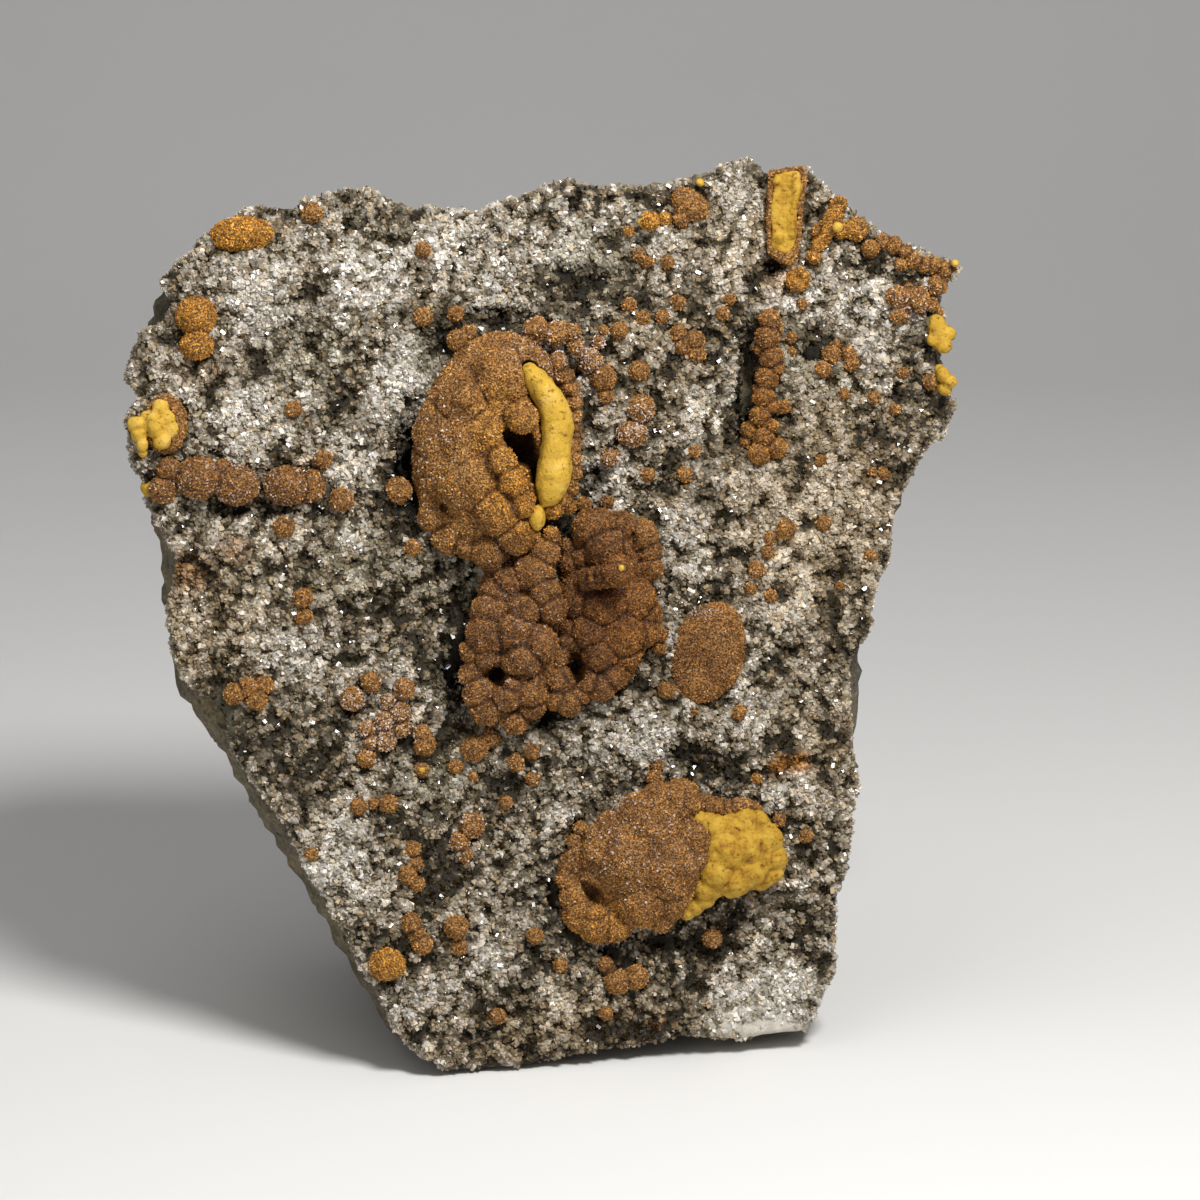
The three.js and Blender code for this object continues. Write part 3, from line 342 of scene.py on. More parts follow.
WHITE = [
    (-60, 156, 12, 10, 0.8), (-36, 158, 9, 8, 1), (-44, 146, 8, 7, 0.6), (-42, 124, 8, 6, 0.6),
    (-30, 138, 7, 9, 1), (-10, 156, 8, 5, 0.7), (50, 155, 6, 5, 0.8), (-68, 88, 6, 8, 0.4),
    (-41, 104, 7, 6, 0.5), (0, 14, 6, 5, 0.5), (48, 55, 8, 5, 0.4), (-60, 130, 10, 9, 0.9),
    (0, 166, 13, 6, 0.7), (-17, 164, 11, 7, 0.7), (22, 165, 11, 7, 0.6), (41, 88, 5, 8, 0.5),
    (-32, 33, 6, 6, 0.4), (-28, 14, 6, 6, 0.4), (-50, 101, 8, 7, 0.5), (-50, 136, 7, 6, 0.6),
    (56, 134, 8, 6, 0.6), (31, 133, 6, 6, 0.5), (38, 175, 6, 5, 0.6), (-70, 134, 6, 6, 0.5),
    (-58, 106, 12, 5, 0.6), (51, 76, 6, 9, 0.6), (1, 54, 5, 5, 0.4), (51, 114, 14, 9, 0.6),
    (66, 152, 10, 10, 0.7), (-51, 84, 7, 7, 0.7), (-42, 42, 8, 12, 0.9), (18, 67, 10, 6, 0.8),
    (44, 13, 12, 10, 1), (40, 74, 6, 6, 0.6), (12, 118, 5, 8, 0.8), (47, 98, 9, 9, 0.5),
    (-57, 108, 9, 6, 0.5), (-14, 20, 7, 7, 0.5), (27, 104, 6, 8, 0.5), (34, 168, 7, 7, 0.6),
]
# Places where the druse is darker, partly painted shade, as under the overhang near the top middle
DIM = [
    (6, 157.5, 6, 3.5, 0.4), (31, 146, 8, 9, 0.2), (-40, 134, 5, 5, 0.4), (-31, 115, 6, 8, 0.7),
    (-30, 92, 6, 7, 0.3), (-40, 88, 6, 6, 0.25), (-62, 70, 12, 8, 0.5), (-44, 62, 7, 5, 0.2),
    (65, 163, 6, 4, 0.5), (-22, 42, 8, 9, 0.6), (-9, 55, 6, 8, 0.6), (42, 61, 8, 5, 0.3),
    (50, 38, 6, 8, 0.25), (30, 13, 6, 6, 0.2), (2, 32, 6, 8, 0.7), (28, 24, 10, 5, 1),
    (-10, 15, 8, 6, 0.7), (18, 6, 12, 6, 0.5), (64, 85, 4, 7, 0.6), (30, 62, 8, 4, 0.35),
    (2, 105, 6, 8, 0.6),
]
BEIGE = [
    (54, 114, 20, 24, 1), (6, 8, 24, 9, 0.9), (-67, 90, 11, 16, 0.8), (36, 168, 12, 10, 0.5),
    (54, 70, 9, 20, 0.5), (20, 140, 12, 14, 0.4), (-52, 100, 14, 12, 0.4),
]
GREEN = [
    (8, 162, 9, 8, 0.6), (-20, 98, 7, 10, 0.7), (-22, 60, 10, 8, 0.7), (-46, 142, 10, 8, 0.6),
    (-22, 144, 7, 8, 0.6), (53, 144, 7, 7, 0.7), (-40, 100, 12, 8, 0.5),
]
CLEAVED = [(46, 7.4, 9, 3.6, 1), (38, 7.6, 7, 2.8, 0.8), (44.5, 12, 9, 6, 0.45)]
# Hollows of the druse beside the masses, with the share of a hollow's depth; the hollows are also darkened,
# painted shade
HOLLOW = [
    (-27.5, 121, 4.5, 13, 1), (-18.8, 79, 4.2, 9, 1), (-1, 72.4, 4, 5, 1), (39.2, 137, 2.6, 13, 1),
    (44.4, 161.6, 2.6, 2.4, 1), (5, 158.8, 7, 3.6, 0.5), (8.7, 35.4, 3.4, 3, 1), (-66.5, 71.6, 2.6, 2, 1),
    (52, 144.6, 3, 3, 0.7), (-22, 146, 4, 4, 0.6), (29, 62, 6, 3, 0.5), (-12, 151, 8, 2.6, 0.6),
    (8, 118, 3, 5, 0.6), (-58, 111.8, 16, 1.4, 0.6), (21, 25, 12, 2.6, 0.5),
]
HOLLOW_DEPTH = 3.0
BARE = [(-66, 71.4, 5.5, 4.6, 1)]

# Kinds of crystals: seed, transmission, roughness
CRYSTALS = {
    "white": (11, 0.0, 0.22), "clear": (23, 0.55, 0.06), "cream": (37, 0.0, 0.25), "grey": (53, 0.0, 0.15),
}
CRYSTAL_TILT = 0.65  # radians
CRYSTAL_CROWDING = 1.5  # tries for each square of the spacing

# Grains of the gyrolite's skin: a three-sided point, in grain sizes
GRAIN_SEED = 7
GRAIN_RADIUS = 0.76
GRAIN_HEIGHT = 1.1
GRAIN_SINK = 0.3
GRAIN_TILT = 0.7  # radians
GRAIN_CROWDING = 1.6
SMALL_NODULES = (1.6, 0.3)  # size and height on chains and shells, in millimetres

# Seams between lumps, in millimetres
SEAM_REACH = 1.6  # how far out of the lumps a seam can be
SEAM_DEPTH = 0.5  # in seam widths
RING_WIDTH = 1.6  # of the seam round a knob, in seam widths
CAVITY_START = 1.3  # how deep inside the lumps a cavity's shade begins
CAVITY_FADE = 2.5
CORE_SEAM_WIDTH = 0.45
CORE_SEAM_DEPTH = 0.15


def length_setting(name, description, default):
    return bpy.props.FloatProperty(name=name, description=description, default=default, unit="LENGTH")


def colour_setting(name, description, default):
    return bpy.props.FloatVectorProperty(
        name=name, description=description, default=default, subtype="COLOR")


class SpecimenSettings(bpy.types.PropertyGroup):
    """Sizes and colours of the specimen that a user would change."""

    crystal_size: length_setting("Crystal size", "Length of a middling heulandite crystal", 0.9 * MM)
    crystal_spacing: length_setting(
        "Crystal spacing", "Least distance between two crystals of a kind", 0.39 * MM)
    clump_size: length_setting("Clump size", "Width of the clumps in which the crystals grow", 2.4 * MM)
    clump_height: length_setting("Clump height", "Height of those clumps", 1.0 * MM)
    grain_size: length_setting("Grain size", "Width of a grain of the gyrolite's skin", 0.46 * MM)
    grain_spacing: length_setting("Grain spacing", "Least distance between two grains", 0.39 * MM)
    gyrolite_brown: colour_setting("Gyrolite brown", "Colour of the gyrolite", (0.43, 0.2, 0.045))
    gyrolite_gold: colour_setting("Gyrolite gold", "Colour of golden gyrolite", (0.6, 0.272, 0.032))
    gyrolite_frost: colour_setting("Gyrolite frost", "Colour of frosted grains", (0.6, 0.48, 0.41))
    core_yellow: colour_setting("Core yellow", "Colour of the gyrolite's core", (0.6, 0.362, 0.038))
    heulandite_white: colour_setting("Heulandite white", "Colour of white crystals", (0.51, 0.464, 0.402))
    heulandite_cream: colour_setting("Heulandite cream", "Colour of cream crystals", (0.4, 0.318, 0.215))
    # The bed grey is partly the bed's own dark grey-green and partly painted shade in the gaps between
    # crystals
    bed_grey_and_gap_shade: colour_setting("Bed grey", "Colour of the bed between the crystals", (0.035, 0.029, 0.019))
    basalt_grey: colour_setting("Basalt grey", "Colour of the basalt", (0.105, 0.09, 0.062))
    floor_grey: colour_setting("Floor", "Colour of the floor", (0.72, 0.71, 0.69))
    camera_distance: length_setting("Camera distance", "From the camera to the face", 1.0)
    view_width: length_setting("View width", "Width of the picture at the face", 0.24)


def settings():
    return bpy.context.scene.gyrolite_specimen


# Meshes

def linked(name, mesh):
    obj = bpy.data.objects.new(name, mesh)
    bpy.context.scene.collection.objects.link(obj)
    return obj


def applied(obj):
    """Turn what the modifiers make of an object into its plain mesh."""
    bpy.context.view_layer.update()
    graph = bpy.context.evaluated_depsgraph_get()
    mesh = bpy.data.meshes.new_from_object(
        obj.evaluated_get(graph), preserve_all_data_layers=True, depsgraph=graph)
    if not mesh.polygons:
        raise RuntimeError(f"{obj.name} has come out empty")
    old = obj.data
    obj.modifiers.clear()
    obj.data = mesh
    mesh.name = obj.name
    bpy.data.meshes.remove(old)
    return obj


def removed(obj):
    mesh = obj.data
    bpy.data.objects.remove(obj)
    bpy.data.meshes.remove(mesh)


def solid(name, shape):
    """A new object from a bmesh, which is freed."""
    mesh = bpy.data.meshes.new(name)
    shape.to_mesh(mesh)
    shape.free()
    return linked(name, mesh)


def node_copy(name, node_name):
    """A copy of a CAD node as a new object, its corners merged."""
    shape = bmesh.new()
    shape.from_mesh(frame["nodes"][node_name].data)
    bmesh.ops.remove_doubles(shape, verts=shape.verts, dist=0.001 * MM)
    return solid(name, shape)


def oval(lump, level=0.0, grow=0.0):
    """The matrix that makes a unit ball into a lump."""
    x, y, z, width, *rest = lump
    height, depth, turn = rest + [width, width, 0][len(rest):]
    place = Matrix.Translation((x, y, z + level)) @ Matrix.Rotation(math.radians(turn), 4, "Z")
    return FACE @ place @ Matrix.Diagonal((width + grow, height + grow, depth + grow, 1))


def lump_object(name, lumps, level=0.0, grow=0.0, detail=3):
    """Overlapping lumps, still separate."""
    shape = bmesh.new()
    for lump in lumps:
        bmesh.ops.create_icosphere(shape, subdivisions=detail, radius=1, matrix=oval(lump, level, grow))
    return solid(name, shape)


def prism_object(name, outline, back, front):
    """A closed prism over an outline on the face."""
    shape = bmesh.new()
    corners = [shape.verts.new(FACE @ Vector((x, y, back))) for x, y in outline]
    ends = bmesh.ops.extrude_face_region(shape, geom=[shape.faces.new(corners)])
    tops = [part for part in ends["geom"] if isinstance(part, bmesh.types.BMVert)]
    bmesh.ops.translate(shape, verts=tops, vec=OUTWARD * (front - back) * MM)
    bmesh.ops.recalc_face_normals(shape, faces=shape.faces)
    return solid(name, shape)


def add_fuse(obj, voxel):
    fuse = obj.modifiers.new("Fuse", "REMESH")
    fuse.mode = "VOXEL"
    fuse.voxel_size = voxel * MM


def fused(obj, voxel, softenings, holes=(), knobs=()):
    """Fuse lumps to one closed skin, cut the holes out of it, add the knobs and soften the creases."""
    add_fuse(obj, voxel)
    for operation, others in (("DIFFERENCE", holes), ("UNION", knobs)):
        for other in others:
            add_fuse(other, voxel)
            change = obj.modifiers.new(operation.title(), "BOOLEAN")
            change.operation = operation
            change.solver = "MANIFOLD"
            change.object = other
    if holes or knobs:
        add_fuse(obj, voxel)
    soften = obj.modifiers.new("Soften", "SMOOTH")
    soften.factor = 0.5
    soften.iterations = softenings
    applied(obj)
    for other in (*holes, *knobs):
        removed(other)
    return obj


def thinned(obj, hidden, ratio):
    """Thin the mesh out where a mask of its vertices says that it is hidden."""
    group = obj.vertex_groups.new(name="hidden")
    group.add([int(index) for index in np.nonzero(hidden)[0]], 1.0, "REPLACE")
    thin = obj.modifiers.new("Thin", "DECIMATE")
    thin.ratio = ratio
    thin.vertex_group = group.name
    thin.use_collapse_triangulate = True
    applied(obj)
    obj.vertex_groups.clear()
    return obj


def vertex_places(mesh):
    places = np.empty((len(mesh.vertices), 3), np.float32)
    mesh.vertices.foreach_get("co", places.ravel())
    return places


def vertex_normals(mesh):
    normals = np.empty((len(mesh.vertices), 3), np.float32)
    mesh.vertex_normals.foreach_get("vector", normals.ravel())
    return normals


def place_vertices(mesh, places):
    mesh.vertices.foreach_set("co", places.astype(np.float32).ravel())


def heights(mesh):
    """How high the vertices are above the floor, in millimetres."""
    return np.array([vertex.co.z for vertex in mesh.vertices]) / MM


def face_places(mesh):
    """Where the vertices are on the face, in millimetres."""
    back = np.array(FACE.inverted())
    return vertex_places(mesh) @ back[:3, :3].T + back[:3, 3]


def outward_share(mesh):
    """How far each vertex's normal points out of the face, from -1 to 1."""
    return vertex_normals(mesh) @ np.array(OUTWARD)


def patches(places, spots):
    """How much of a set of soft patches each place has, from 0 to 1."""
    most = np.zeros(len(places))
    for x, y, width, height, share in spots:
        reach = ((places[:, 0] - x) / width) ** 2 + ((places[:, 1] - y) / height) ** 2
        most = np.maximum(most, share * np.exp(-reach * reach))
    return most


def gaps_to(places, lumps, level):
    """How far each place is outside each lump, in millimetres."""
    gaps = []
    for x, y, z, *size in lumps:
        turn = math.radians(size[3]) if len(size) > 3 else 0.0
        half = np.array((size * 3)[:3])
        away = places - np.array((x, y, z + level))
        across = away[:, 0] * math.cos(turn) + away[:, 1] * math.sin(turn)
        up = away[:, 1] * math.cos(turn) - away[:, 0] * math.sin(turn)
        reach = np.stack((across, up, away[:, 2]), axis=1) / half
        gaps.append((np.linalg.norm(reach, axis=1) - 1) * half.mean())
    return np.array(gaps)


def seams(gaps, width):
    """How near each place is to the seam between the two lumps that it lies on, from 0 to 1."""
    nearest, next_one = np.sort(gaps, axis=0)[:2]
    return np.clip(1 - (next_one - nearest) / width, 0, 1) * np.clip(SEAM_REACH - nearest, 0, 1)


def moved_in(mesh, depth):
    """Move each vertex inwards along its normal by its own depth in millimetres."""
    place_vertices(mesh, vertex_places(mesh) - vertex_normals(mesh) * (depth * MM)[:, None])


def store(mesh, name, values):
    layer = mesh.attributes.get(name) or mesh.attributes.new(name, "FLOAT", "POINT")
    layer.data.foreach_set("value", np.asarray(values, np.float32))


def read(mesh, name):
    values = np.empty(len(mesh.vertices), np.float32)
    mesh.attributes[name].data.foreach_get("value", values)
    return values


class Ground:
    """The front of some objects, for setting things on it."""

    def __init__(self, *objects):
        graph = bpy.context.evaluated_depsgraph_get()
        self.trees = [BVHTree.FromObject(obj, graph) for obj in objects]
        self.back = FACE.inverted()

    def level(self, x, y):
        start = FACE @ Vector((x, y, FAR_OUT))
        hits = [tree.ray_cast(start, -OUTWARD)[0] for tree in self.trees]
        levels = [(self.back @ hit).z for hit in hits if hit is not None]
        if not levels:
            nearest = self.trees[0].find_nearest(FACE @ Vector((x, y, 0)))[0]
            levels = [(self.back @ nearest).z]
        return max(levels)

    def height(self, x, y, reach=1.2):
        """The mean level about a place, so that one crystal or gap does not decide it."""
        around = ((0, 0), (reach, 0), (-reach, 0), (0, reach), (0, -reach))
        return sum(self.level(x + dx, y + dy) for dx, dy in around) / len(around)

    def standing(self, lumps):
        return [(x, y, z + self.height(x, y), *size) for x, y, z, *size in lumps]


# Node trees

def node(tree, kind, inputs=None, **options):
    made = tree.nodes.new(kind)
    for key, value in options.items():
        setattr(made, key, value)
    for key, value in (inputs or {}).items():
        if isinstance(value, bpy.types.NodeSocket):
            tree.links.new(value, made.inputs[key])
        else:
            made.inputs[key].default_value = value
    return made


def maths(tree, operation, *values):
    return node(tree, "ShaderNodeMath", dict(enumerate(values)), operation=operation).outputs[0]


def plus(tree, *values):
    return maths(tree, "ADD", *values)


def minus(tree, *values):
    return maths(tree, "SUBTRACT", *values)


def times(tree, *values):
    return maths(tree, "MULTIPLY", *values)


def vectors(tree, operation, *values):
    made = node(tree, "ShaderNodeVectorMath", dict(enumerate(values)), operation=operation)
    return made.outputs["Value" if operation == "DOT_PRODUCT" else "Vector"]


def scaled(tree, vector, factor):
    made = node(tree, "ShaderNodeVectorMath", {"Vector": vector, "Scale": factor}, operation="SCALE")
    return made.outputs["Vector"]


def geometry_tree(name, inputs):
    """A tree with geometry in and out and other inputs by name; gives the tree, its inputs and its end."""
    tree = bpy.data.node_groups.new(name, "GeometryNodeTree")
    tree.interface.new_socket("Geometry", in_out="INPUT", socket_type="NodeSocketGeometry")
    for label, kind in inputs.items():
        tree.interface.new_socket(label, in_out="INPUT", socket_type="NodeSocket" + kind)
    tree.interface.new_socket("Geometry", in_out="OUTPUT", socket_type="NodeSocketGeometry")
    given = tree.nodes.new("NodeGroupInput").outputs
    end = tree.nodes.new("NodeGroupOutput").inputs["Geometry"]
    return tree, given, end


def run_tree(obj, tree, values):
    """Put a tree on an object with its inputs set, and turn the result into a plain mesh."""
    modifier = obj.modifiers.new(tree.name, "NODES")
    modifier.node_group = tree
    for item in tree.interface.items_tree:
        if item.item_type == "SOCKET" and item.in_out == "INPUT" and item.name in values:
            modifier[item.identifier] = values[item.name]
    return applied(obj)


def position(tree):
    return node(tree, "GeometryNodeInputPosition").outputs[0]


def normal(tree):
    return node(tree, "GeometryNodeInputNormal").outputs[0]


def named(tree, name):
    """The number that each vertex has under a name."""
    return node(tree, "GeometryNodeInputNamedAttribute", {"Name": name}, data_type="FLOAT").outputs[0]


def cells(tree, size, feature="F1", warp=0.0):
    """Distance to the middle of a rounded cell, 0 in the middle and about 0.7 in the creases."""
    place = position(tree)
    scale = maths(tree, "DIVIDE", 1.0, size)
    if warp:
        swirl = node(tree, "ShaderNodeTexNoise", {"Vector": place, "Scale": scale, "Detail": 1.0})
        shift = vectors(tree, "SUBTRACT", swirl.outputs["Color"], (0.5, 0.5, 0.5))
        place = vectors(tree, "ADD", place, scaled(tree, shift, times(tree, size, warp)))
    made = node(tree, "ShaderNodeTexVoronoi", {"Vector": place, "Scale": scale}, feature=feature)
    return made.outputs["Distance"]


def ripple(tree, size):
    """Noise about 0, between about -0.3 and 0.3."""
    scale = maths(tree, "DIVIDE", 1.0, size)
    made = node(tree, "ShaderNodeTexNoise", {"Vector": position(tree), "Scale": scale, "Detail": 3.0})
    return minus(tree, made.outputs[0], 0.5)


def pushed(tree, geometry, height):
    offset = scaled(tree, normal(tree), height)
    return node(tree, "GeometryNodeSetPosition", {"Geometry": geometry, "Offset": offset}).outputs[0]


def kept(tree, geometry, name, value, domain="POINT"):
    """Keep a value at each vertex, or at each instance, under a name."""
    made = node(tree, "GeometryNodeStoreNamedAttribute", {
        "Geometry": geometry, "Name": name, "Value": value}, data_type="FLOAT", domain=domain)
    return made.outputs[0]


def random_turn(tree, rotation, tilt, seed):
    """A rotation with a random tilt and any turn about its own axis."""
    back = times(tree, tilt, -1.0)
    low = node(tree, "ShaderNodeCombineXYZ", {"X": back, "Y": back, "Z": 0.0}).outputs[0]
    high = node(tree, "ShaderNodeCombineXYZ", {"X": tilt, "Y": tilt, "Z": 2 * math.pi}).outputs[0]
    angles = node(tree, "FunctionNodeRandomValue", {
        0: low, 1: high, "Seed": seed}, data_type="FLOAT_VECTOR").outputs[0]
    turn = node(tree, "FunctionNodeEulerToRotation", {0: angles}).outputs[0]
    made = node(tree, "FunctionNodeRotateRotation", {0: rotation, 1: turn}, rotation_space="LOCAL")
    return made.outputs[0]


def random_number(tree, low, high, seed):
    made = node(tree, "FunctionNodeRandomValue", {2: low, 3: high, "Seed": seed}, data_type="FLOAT")
    return made.outputs[1]


def tinted(tree, instances, name, seed):
    """Give each instance a random number of its own, which its faces keep."""
    return kept(tree, instances, name, random_number(tree, 0.0, 1.0, seed), "INSTANCE")


def strewn(tree, mesh, spacing, crowding, seed, limits):
    """Random points on a mesh, no two nearer than a spacing; gives their outputs."""
    most = maths(tree, "DIVIDE", crowding, times(tree, spacing, spacing))
    return node(tree, "GeometryNodeDistributePointsOnFaces", {
        "Mesh": mesh, "Distance Min": spacing, "Density Max": most, "Seed": seed, **limits},
        distribute_method="POISSON").outputs


def finished(tree, geometry, material, smooth):
    real = node(tree, "GeometryNodeRealizeInstances", {"Geometry": geometry}).outputs[0]
    shaded = node(tree, "GeometryNodeSetShadeSmooth", {"Geometry": real, "Shade Smooth": smooth}).outputs[0]
    return node(tree, "GeometryNodeSetMaterial", {"Geometry": shaded, "Material": material}).outputs[0]


def velvet_tree():
    """Rounded nodules on a skin of gyrolite, set all over with small pointed grains."""
    tree, given, end = geometry_tree("Velvet skin", {
        "Nodule size": "Float", "Nodule height": "Float", "Grain size": "Float", "Grain spacing": "Float",
        "Lowest": "Float", "Seed": "Int", "Skin": "Material", "Grain": "Material"})
    large, small = (cells(tree, times(tree, given["Nodule size"], share), warp=1.2) for share in (1.0, 0.5))
    swell = minus(tree, 0.35, times(tree, large, large))
    swell = minus(tree, swell, times(tree, times(tree, small, small), 0.35))
    wave = ripple(tree, times(tree, given["Nodule size"], 2.5))
    height = times(tree, plus(tree, swell, wave), given["Nodule height"])
    # dip keeps how near a place is to the crease between nodules, which the finishes darken as painted shade
    skin = pushed(tree, kept(tree, given["Geometry"], "dip", large), height)
    away = vectors(tree, "SUBTRACT", position(tree), tuple(FACE_ORIGIN))
    level = vectors(tree, "DOT_PRODUCT", away, tuple(OUTWARD))
    above = maths(tree, "GREATER_THAN", level, given["Lowest"])
    facing = vectors(tree, "DOT_PRODUCT", normal(tree), tuple(OUTWARD))
    front = maths(tree, "GREATER_THAN", facing, -0.3)
    points = strewn(tree, skin, given["Grain spacing"], GRAIN_CROWDING, given["Seed"], {
        "Selection": times(tree, above, front)})
    grain = node(tree, "GeometryNodeMeshCone", {
        "Vertices": 3, "Radius Top": 0.0, "Radius Bottom": GRAIN_RADIUS, "Depth": GRAIN_HEIGHT},
        fill_type="NONE").outputs["Mesh"]
    size = times(tree, given["Grain size"], random_number(tree, 0.6, 1.25, 3))
    rooted = scaled(tree, points["Normal"], times(tree, given["Grain size"], -GRAIN_SINK))
    seats = node(tree, "GeometryNodeSetPosition", {
        "Geometry": points["Points"], "Offset": rooted}).outputs[0]
    grains = node(tree, "GeometryNodeInstanceOnPoints", {
        "Points": seats, "Instance": grain, "Scale": size,
        "Rotation": random_turn(tree, points["Rotation"], GRAIN_TILT, 5)}).outputs[0]
    grains = tinted(tree, grains, "tint", 1)
    grains = tinted(tree, grains, "speck", 2)
    both = node(tree, "GeometryNodeJoinGeometry")
    tree.links.new(finished(tree, skin, given["Skin"], True), both.inputs[0])
    tree.links.new(finished(tree, grains, given["Grain"], False), both.inputs[0])
    tree.links.new(both.outputs[0], end)
    return tree


def wax_tree():
    """A smooth waxy skin with soft dimples, for the yellow cores."""
    tree, given, end = geometry_tree("Waxy skin", {
        "Nodule size": "Float", "Nodule height": "Float", "Skin": "Material"})
    round_cells = cells(tree, given["Nodule size"], "SMOOTH_F1")
    swell = minus(tree, 0.3, times(tree, round_cells, round_cells))
    dimples = ripple(tree, times(tree, given["Nodule size"], 0.45))
    both = plus(tree, swell, times(tree, dimples, 0.9))
    skin = pushed(tree, given["Geometry"], times(tree, both, given["Nodule height"]))
    tree.links.new(finished(tree, skin, given["Skin"], True), end)
    return tree


def rock_tree():
    """Rough broken basalt: uneven chips over slow swells."""
    tree, given, end = geometry_tree("Broken rock", {
        "Chip size": "Float", "Chip height": "Float", "Skin": "Material"})
    chips = minus(tree, cells(tree, given["Chip size"]), 0.4)
    fine = ripple(tree, times(tree, given["Chip size"], 0.4))
    shape = plus(tree, chips, times(tree, fine, 1.2))
    height = times(tree, times(tree, shape, given["Chip height"]), named(tree, "loose"))
    skin = pushed(tree, given["Geometry"], height)
    tree.links.new(finished(tree, skin, given["Skin"], False), end)
    return tree


def bed_tree():
    """The bed of the druse, in clumps; each place keeps how high on its clump it is as hill."""
    tree, given, end = geometry_tree("Druse bed", {
        "Clump size": "Float", "Clump height": "Float", "Skin": "Material"})
    reach = maths(tree, "DIVIDE", cells(tree, given["Clump size"]), 0.6)
    clump = maths(tree, "MAXIMUM", minus(tree, 1.0, times(tree, reach, reach)), -0.9)
    small = minus(tree, 0.5, cells(tree, times(tree, given["Clump size"], 0.45)))
    slow = ripple(tree, times(tree, given["Clump size"], 3.2))
    ragged = ripple(tree, times(tree, given["Clump size"], 0.6))
    detail = plus(tree, times(tree, clump, 0.55), times(tree, small, 0.5))
    detail = plus(tree, detail, times(tree, ragged, 2.0))
    hill = plus(tree, detail, times(tree, slow, 2.0))
    shape = plus(tree, detail, times(tree, slow, 4.0))
    height = times(tree, times(tree, shape, given["Clump height"]), named(tree, "loose"))
    raised = pushed(tree, kept(tree, given["Geometry"], "hill", hill), height)
    tree.links.new(finished(tree, raised, given["Skin"], True), end)
    return tree


def crystal_tree():
    """Crystals of one kind strewn over the bed by a share of it, and none under the gyrolite."""
    tree, given, end = geometry_tree("Crystals", {
        "Blunt": "Object", "Sharp": "Object", "Chip": "Object", "Cover": "Object", "Share": "String",
        "Spacing": "Float", "Size": "Float", "Tilt": "Float", "Seed": "Int", "Finish": "Material"})
    points = strewn(tree, given["Geometry"], given["Spacing"], CRYSTAL_CROWDING, given["Seed"], {
        "Density Factor": named(tree, given["Share"])})
    cover = node(tree, "GeometryNodeObjectInfo", {"Object": given["Cover"]})
    under = node(tree, "GeometryNodeRaycast", {
        "Target Geometry": cover.outputs["Geometry"], "Source Position": position(tree),
        "Ray Direction": tuple(OUTWARD), "Ray Length": FAR_OUT * MM})
    bare = node(tree, "GeometryNodeDeleteGeometry", {
        "Geometry": points["Points"], "Selection": under.outputs["Is Hit"]}, domain="POINT").outputs[0]
    shapes = node(tree, "GeometryNodeJoinGeometry")
    for label in ("Blunt", "Sharp", "Chip"):
        shape = node(tree, "GeometryNodeObjectInfo", {"Object": given[label], "As Instance": True})
        tree.links.new(shape.outputs["Geometry"], shapes.inputs[0])
    pick = node(tree, "FunctionNodeRandomValue", {4: 0, 5: 2, "Seed": 9}, data_type="INT").outputs[2]
    size = times(tree, given["Size"], random_number(tree, 0.55, 1.4, 3))
    crystals = node(tree, "GeometryNodeInstanceOnPoints", {
        "Points": bare, "Instance": shapes.outputs[0], "Pick Instance": True, "Instance Index": pick,
        "Rotation": random_turn(tree, points["Rotation"], given["Tilt"], 5), "Scale": size}).outputs[0]
    tree.links.new(finished(tree, tinted(tree, crystals, "tint", 1), given["Finish"], False), end)
    return tree


# Finishes

def finish(name):
    """A new material; gives its tree and its shader."""
    material = bpy.data.materials.new(name)
    material.use_nodes = True
    tree = material.node_tree
    return material, tree, tree.nodes["Principled BSDF"]


def face_coordinates(tree):
    """Object coordinates turned into millimetres of the face."""
    coords = node(tree, "ShaderNodeTexCoord").outputs["Object"]
    mapping = node(tree, "ShaderNodeMapping", {"Vector": coords}, vector_type="TEXTURE")
    mapping.inputs["Location"].default_value = FACE_ORIGIN
    mapping.inputs["Rotation"].default_value = (math.pi / 2 - LEAN, 0, 0)
    mapping.inputs["Scale"].default_value = (MM, MM, MM)
    return mapping.outputs[0]


def noise(tree, vector, size, detail=3.0, rough=0.5):
    made = node(tree, "ShaderNodeTexNoise", {
        "Vector": vector, "Scale": 1 / size, "Detail": detail, "Roughness": rough})
    return made.outputs[0]


def ramp(tree, factor, stops):
    made = node(tree, "ShaderNodeValToRGB", {"Fac": factor})
    steps = made.color_ramp.elements
    while len(steps) < len(stops):
        steps.new(0.5)
    for step, (place, colour) in zip(steps, stops):
        step.position = place
        step.color = (*colour, 1)
    return made.outputs["Color"]


def mixed(tree, factor, first, second, blend="MIX"):
    made = tree.nodes.new("ShaderNodeMix")
    made.data_type = "RGBA"
    made.blend_type = blend
    for index, value in ((0, factor), (6, first), (7, second)):
        if isinstance(value, bpy.types.NodeSocket):
            tree.links.new(value, made.inputs[index])
        elif index == 0:
            made.inputs[index].default_value = value
        else:
            made.inputs[index].default_value = (*value, 1)
    return made.outputs[2]


def dyed(tree, colour, dye, share=1.0):
    """Multiply a colour by another, all of it or a share."""
    return mixed(tree, share, colour, dye, "MULTIPLY")


def attribute(tree, name):
    return node(tree, "ShaderNodeAttribute", attribute_name=name).outputs["Fac"]


def risen(tree, low, high):
    """How high on its clump a place is, from 0 at a low level to 1 at a high one."""
    made = node(tree, "ShaderNodeMapRange", {
        "Value": attribute(tree, "hill"), "From Min": low, "From Max": high})
    return made.outputs[0]


def shade(colour, factor):
    return tuple(min(1.0, part * factor) for part in colour)


def bumped(tree, shader, height, strength, distance):
    bump = node(tree, "ShaderNodeBump", {"Height": height, "Strength": strength, "Distance": distance})
    tree.links.new(bump.outputs[0], shader.inputs["Normal"])


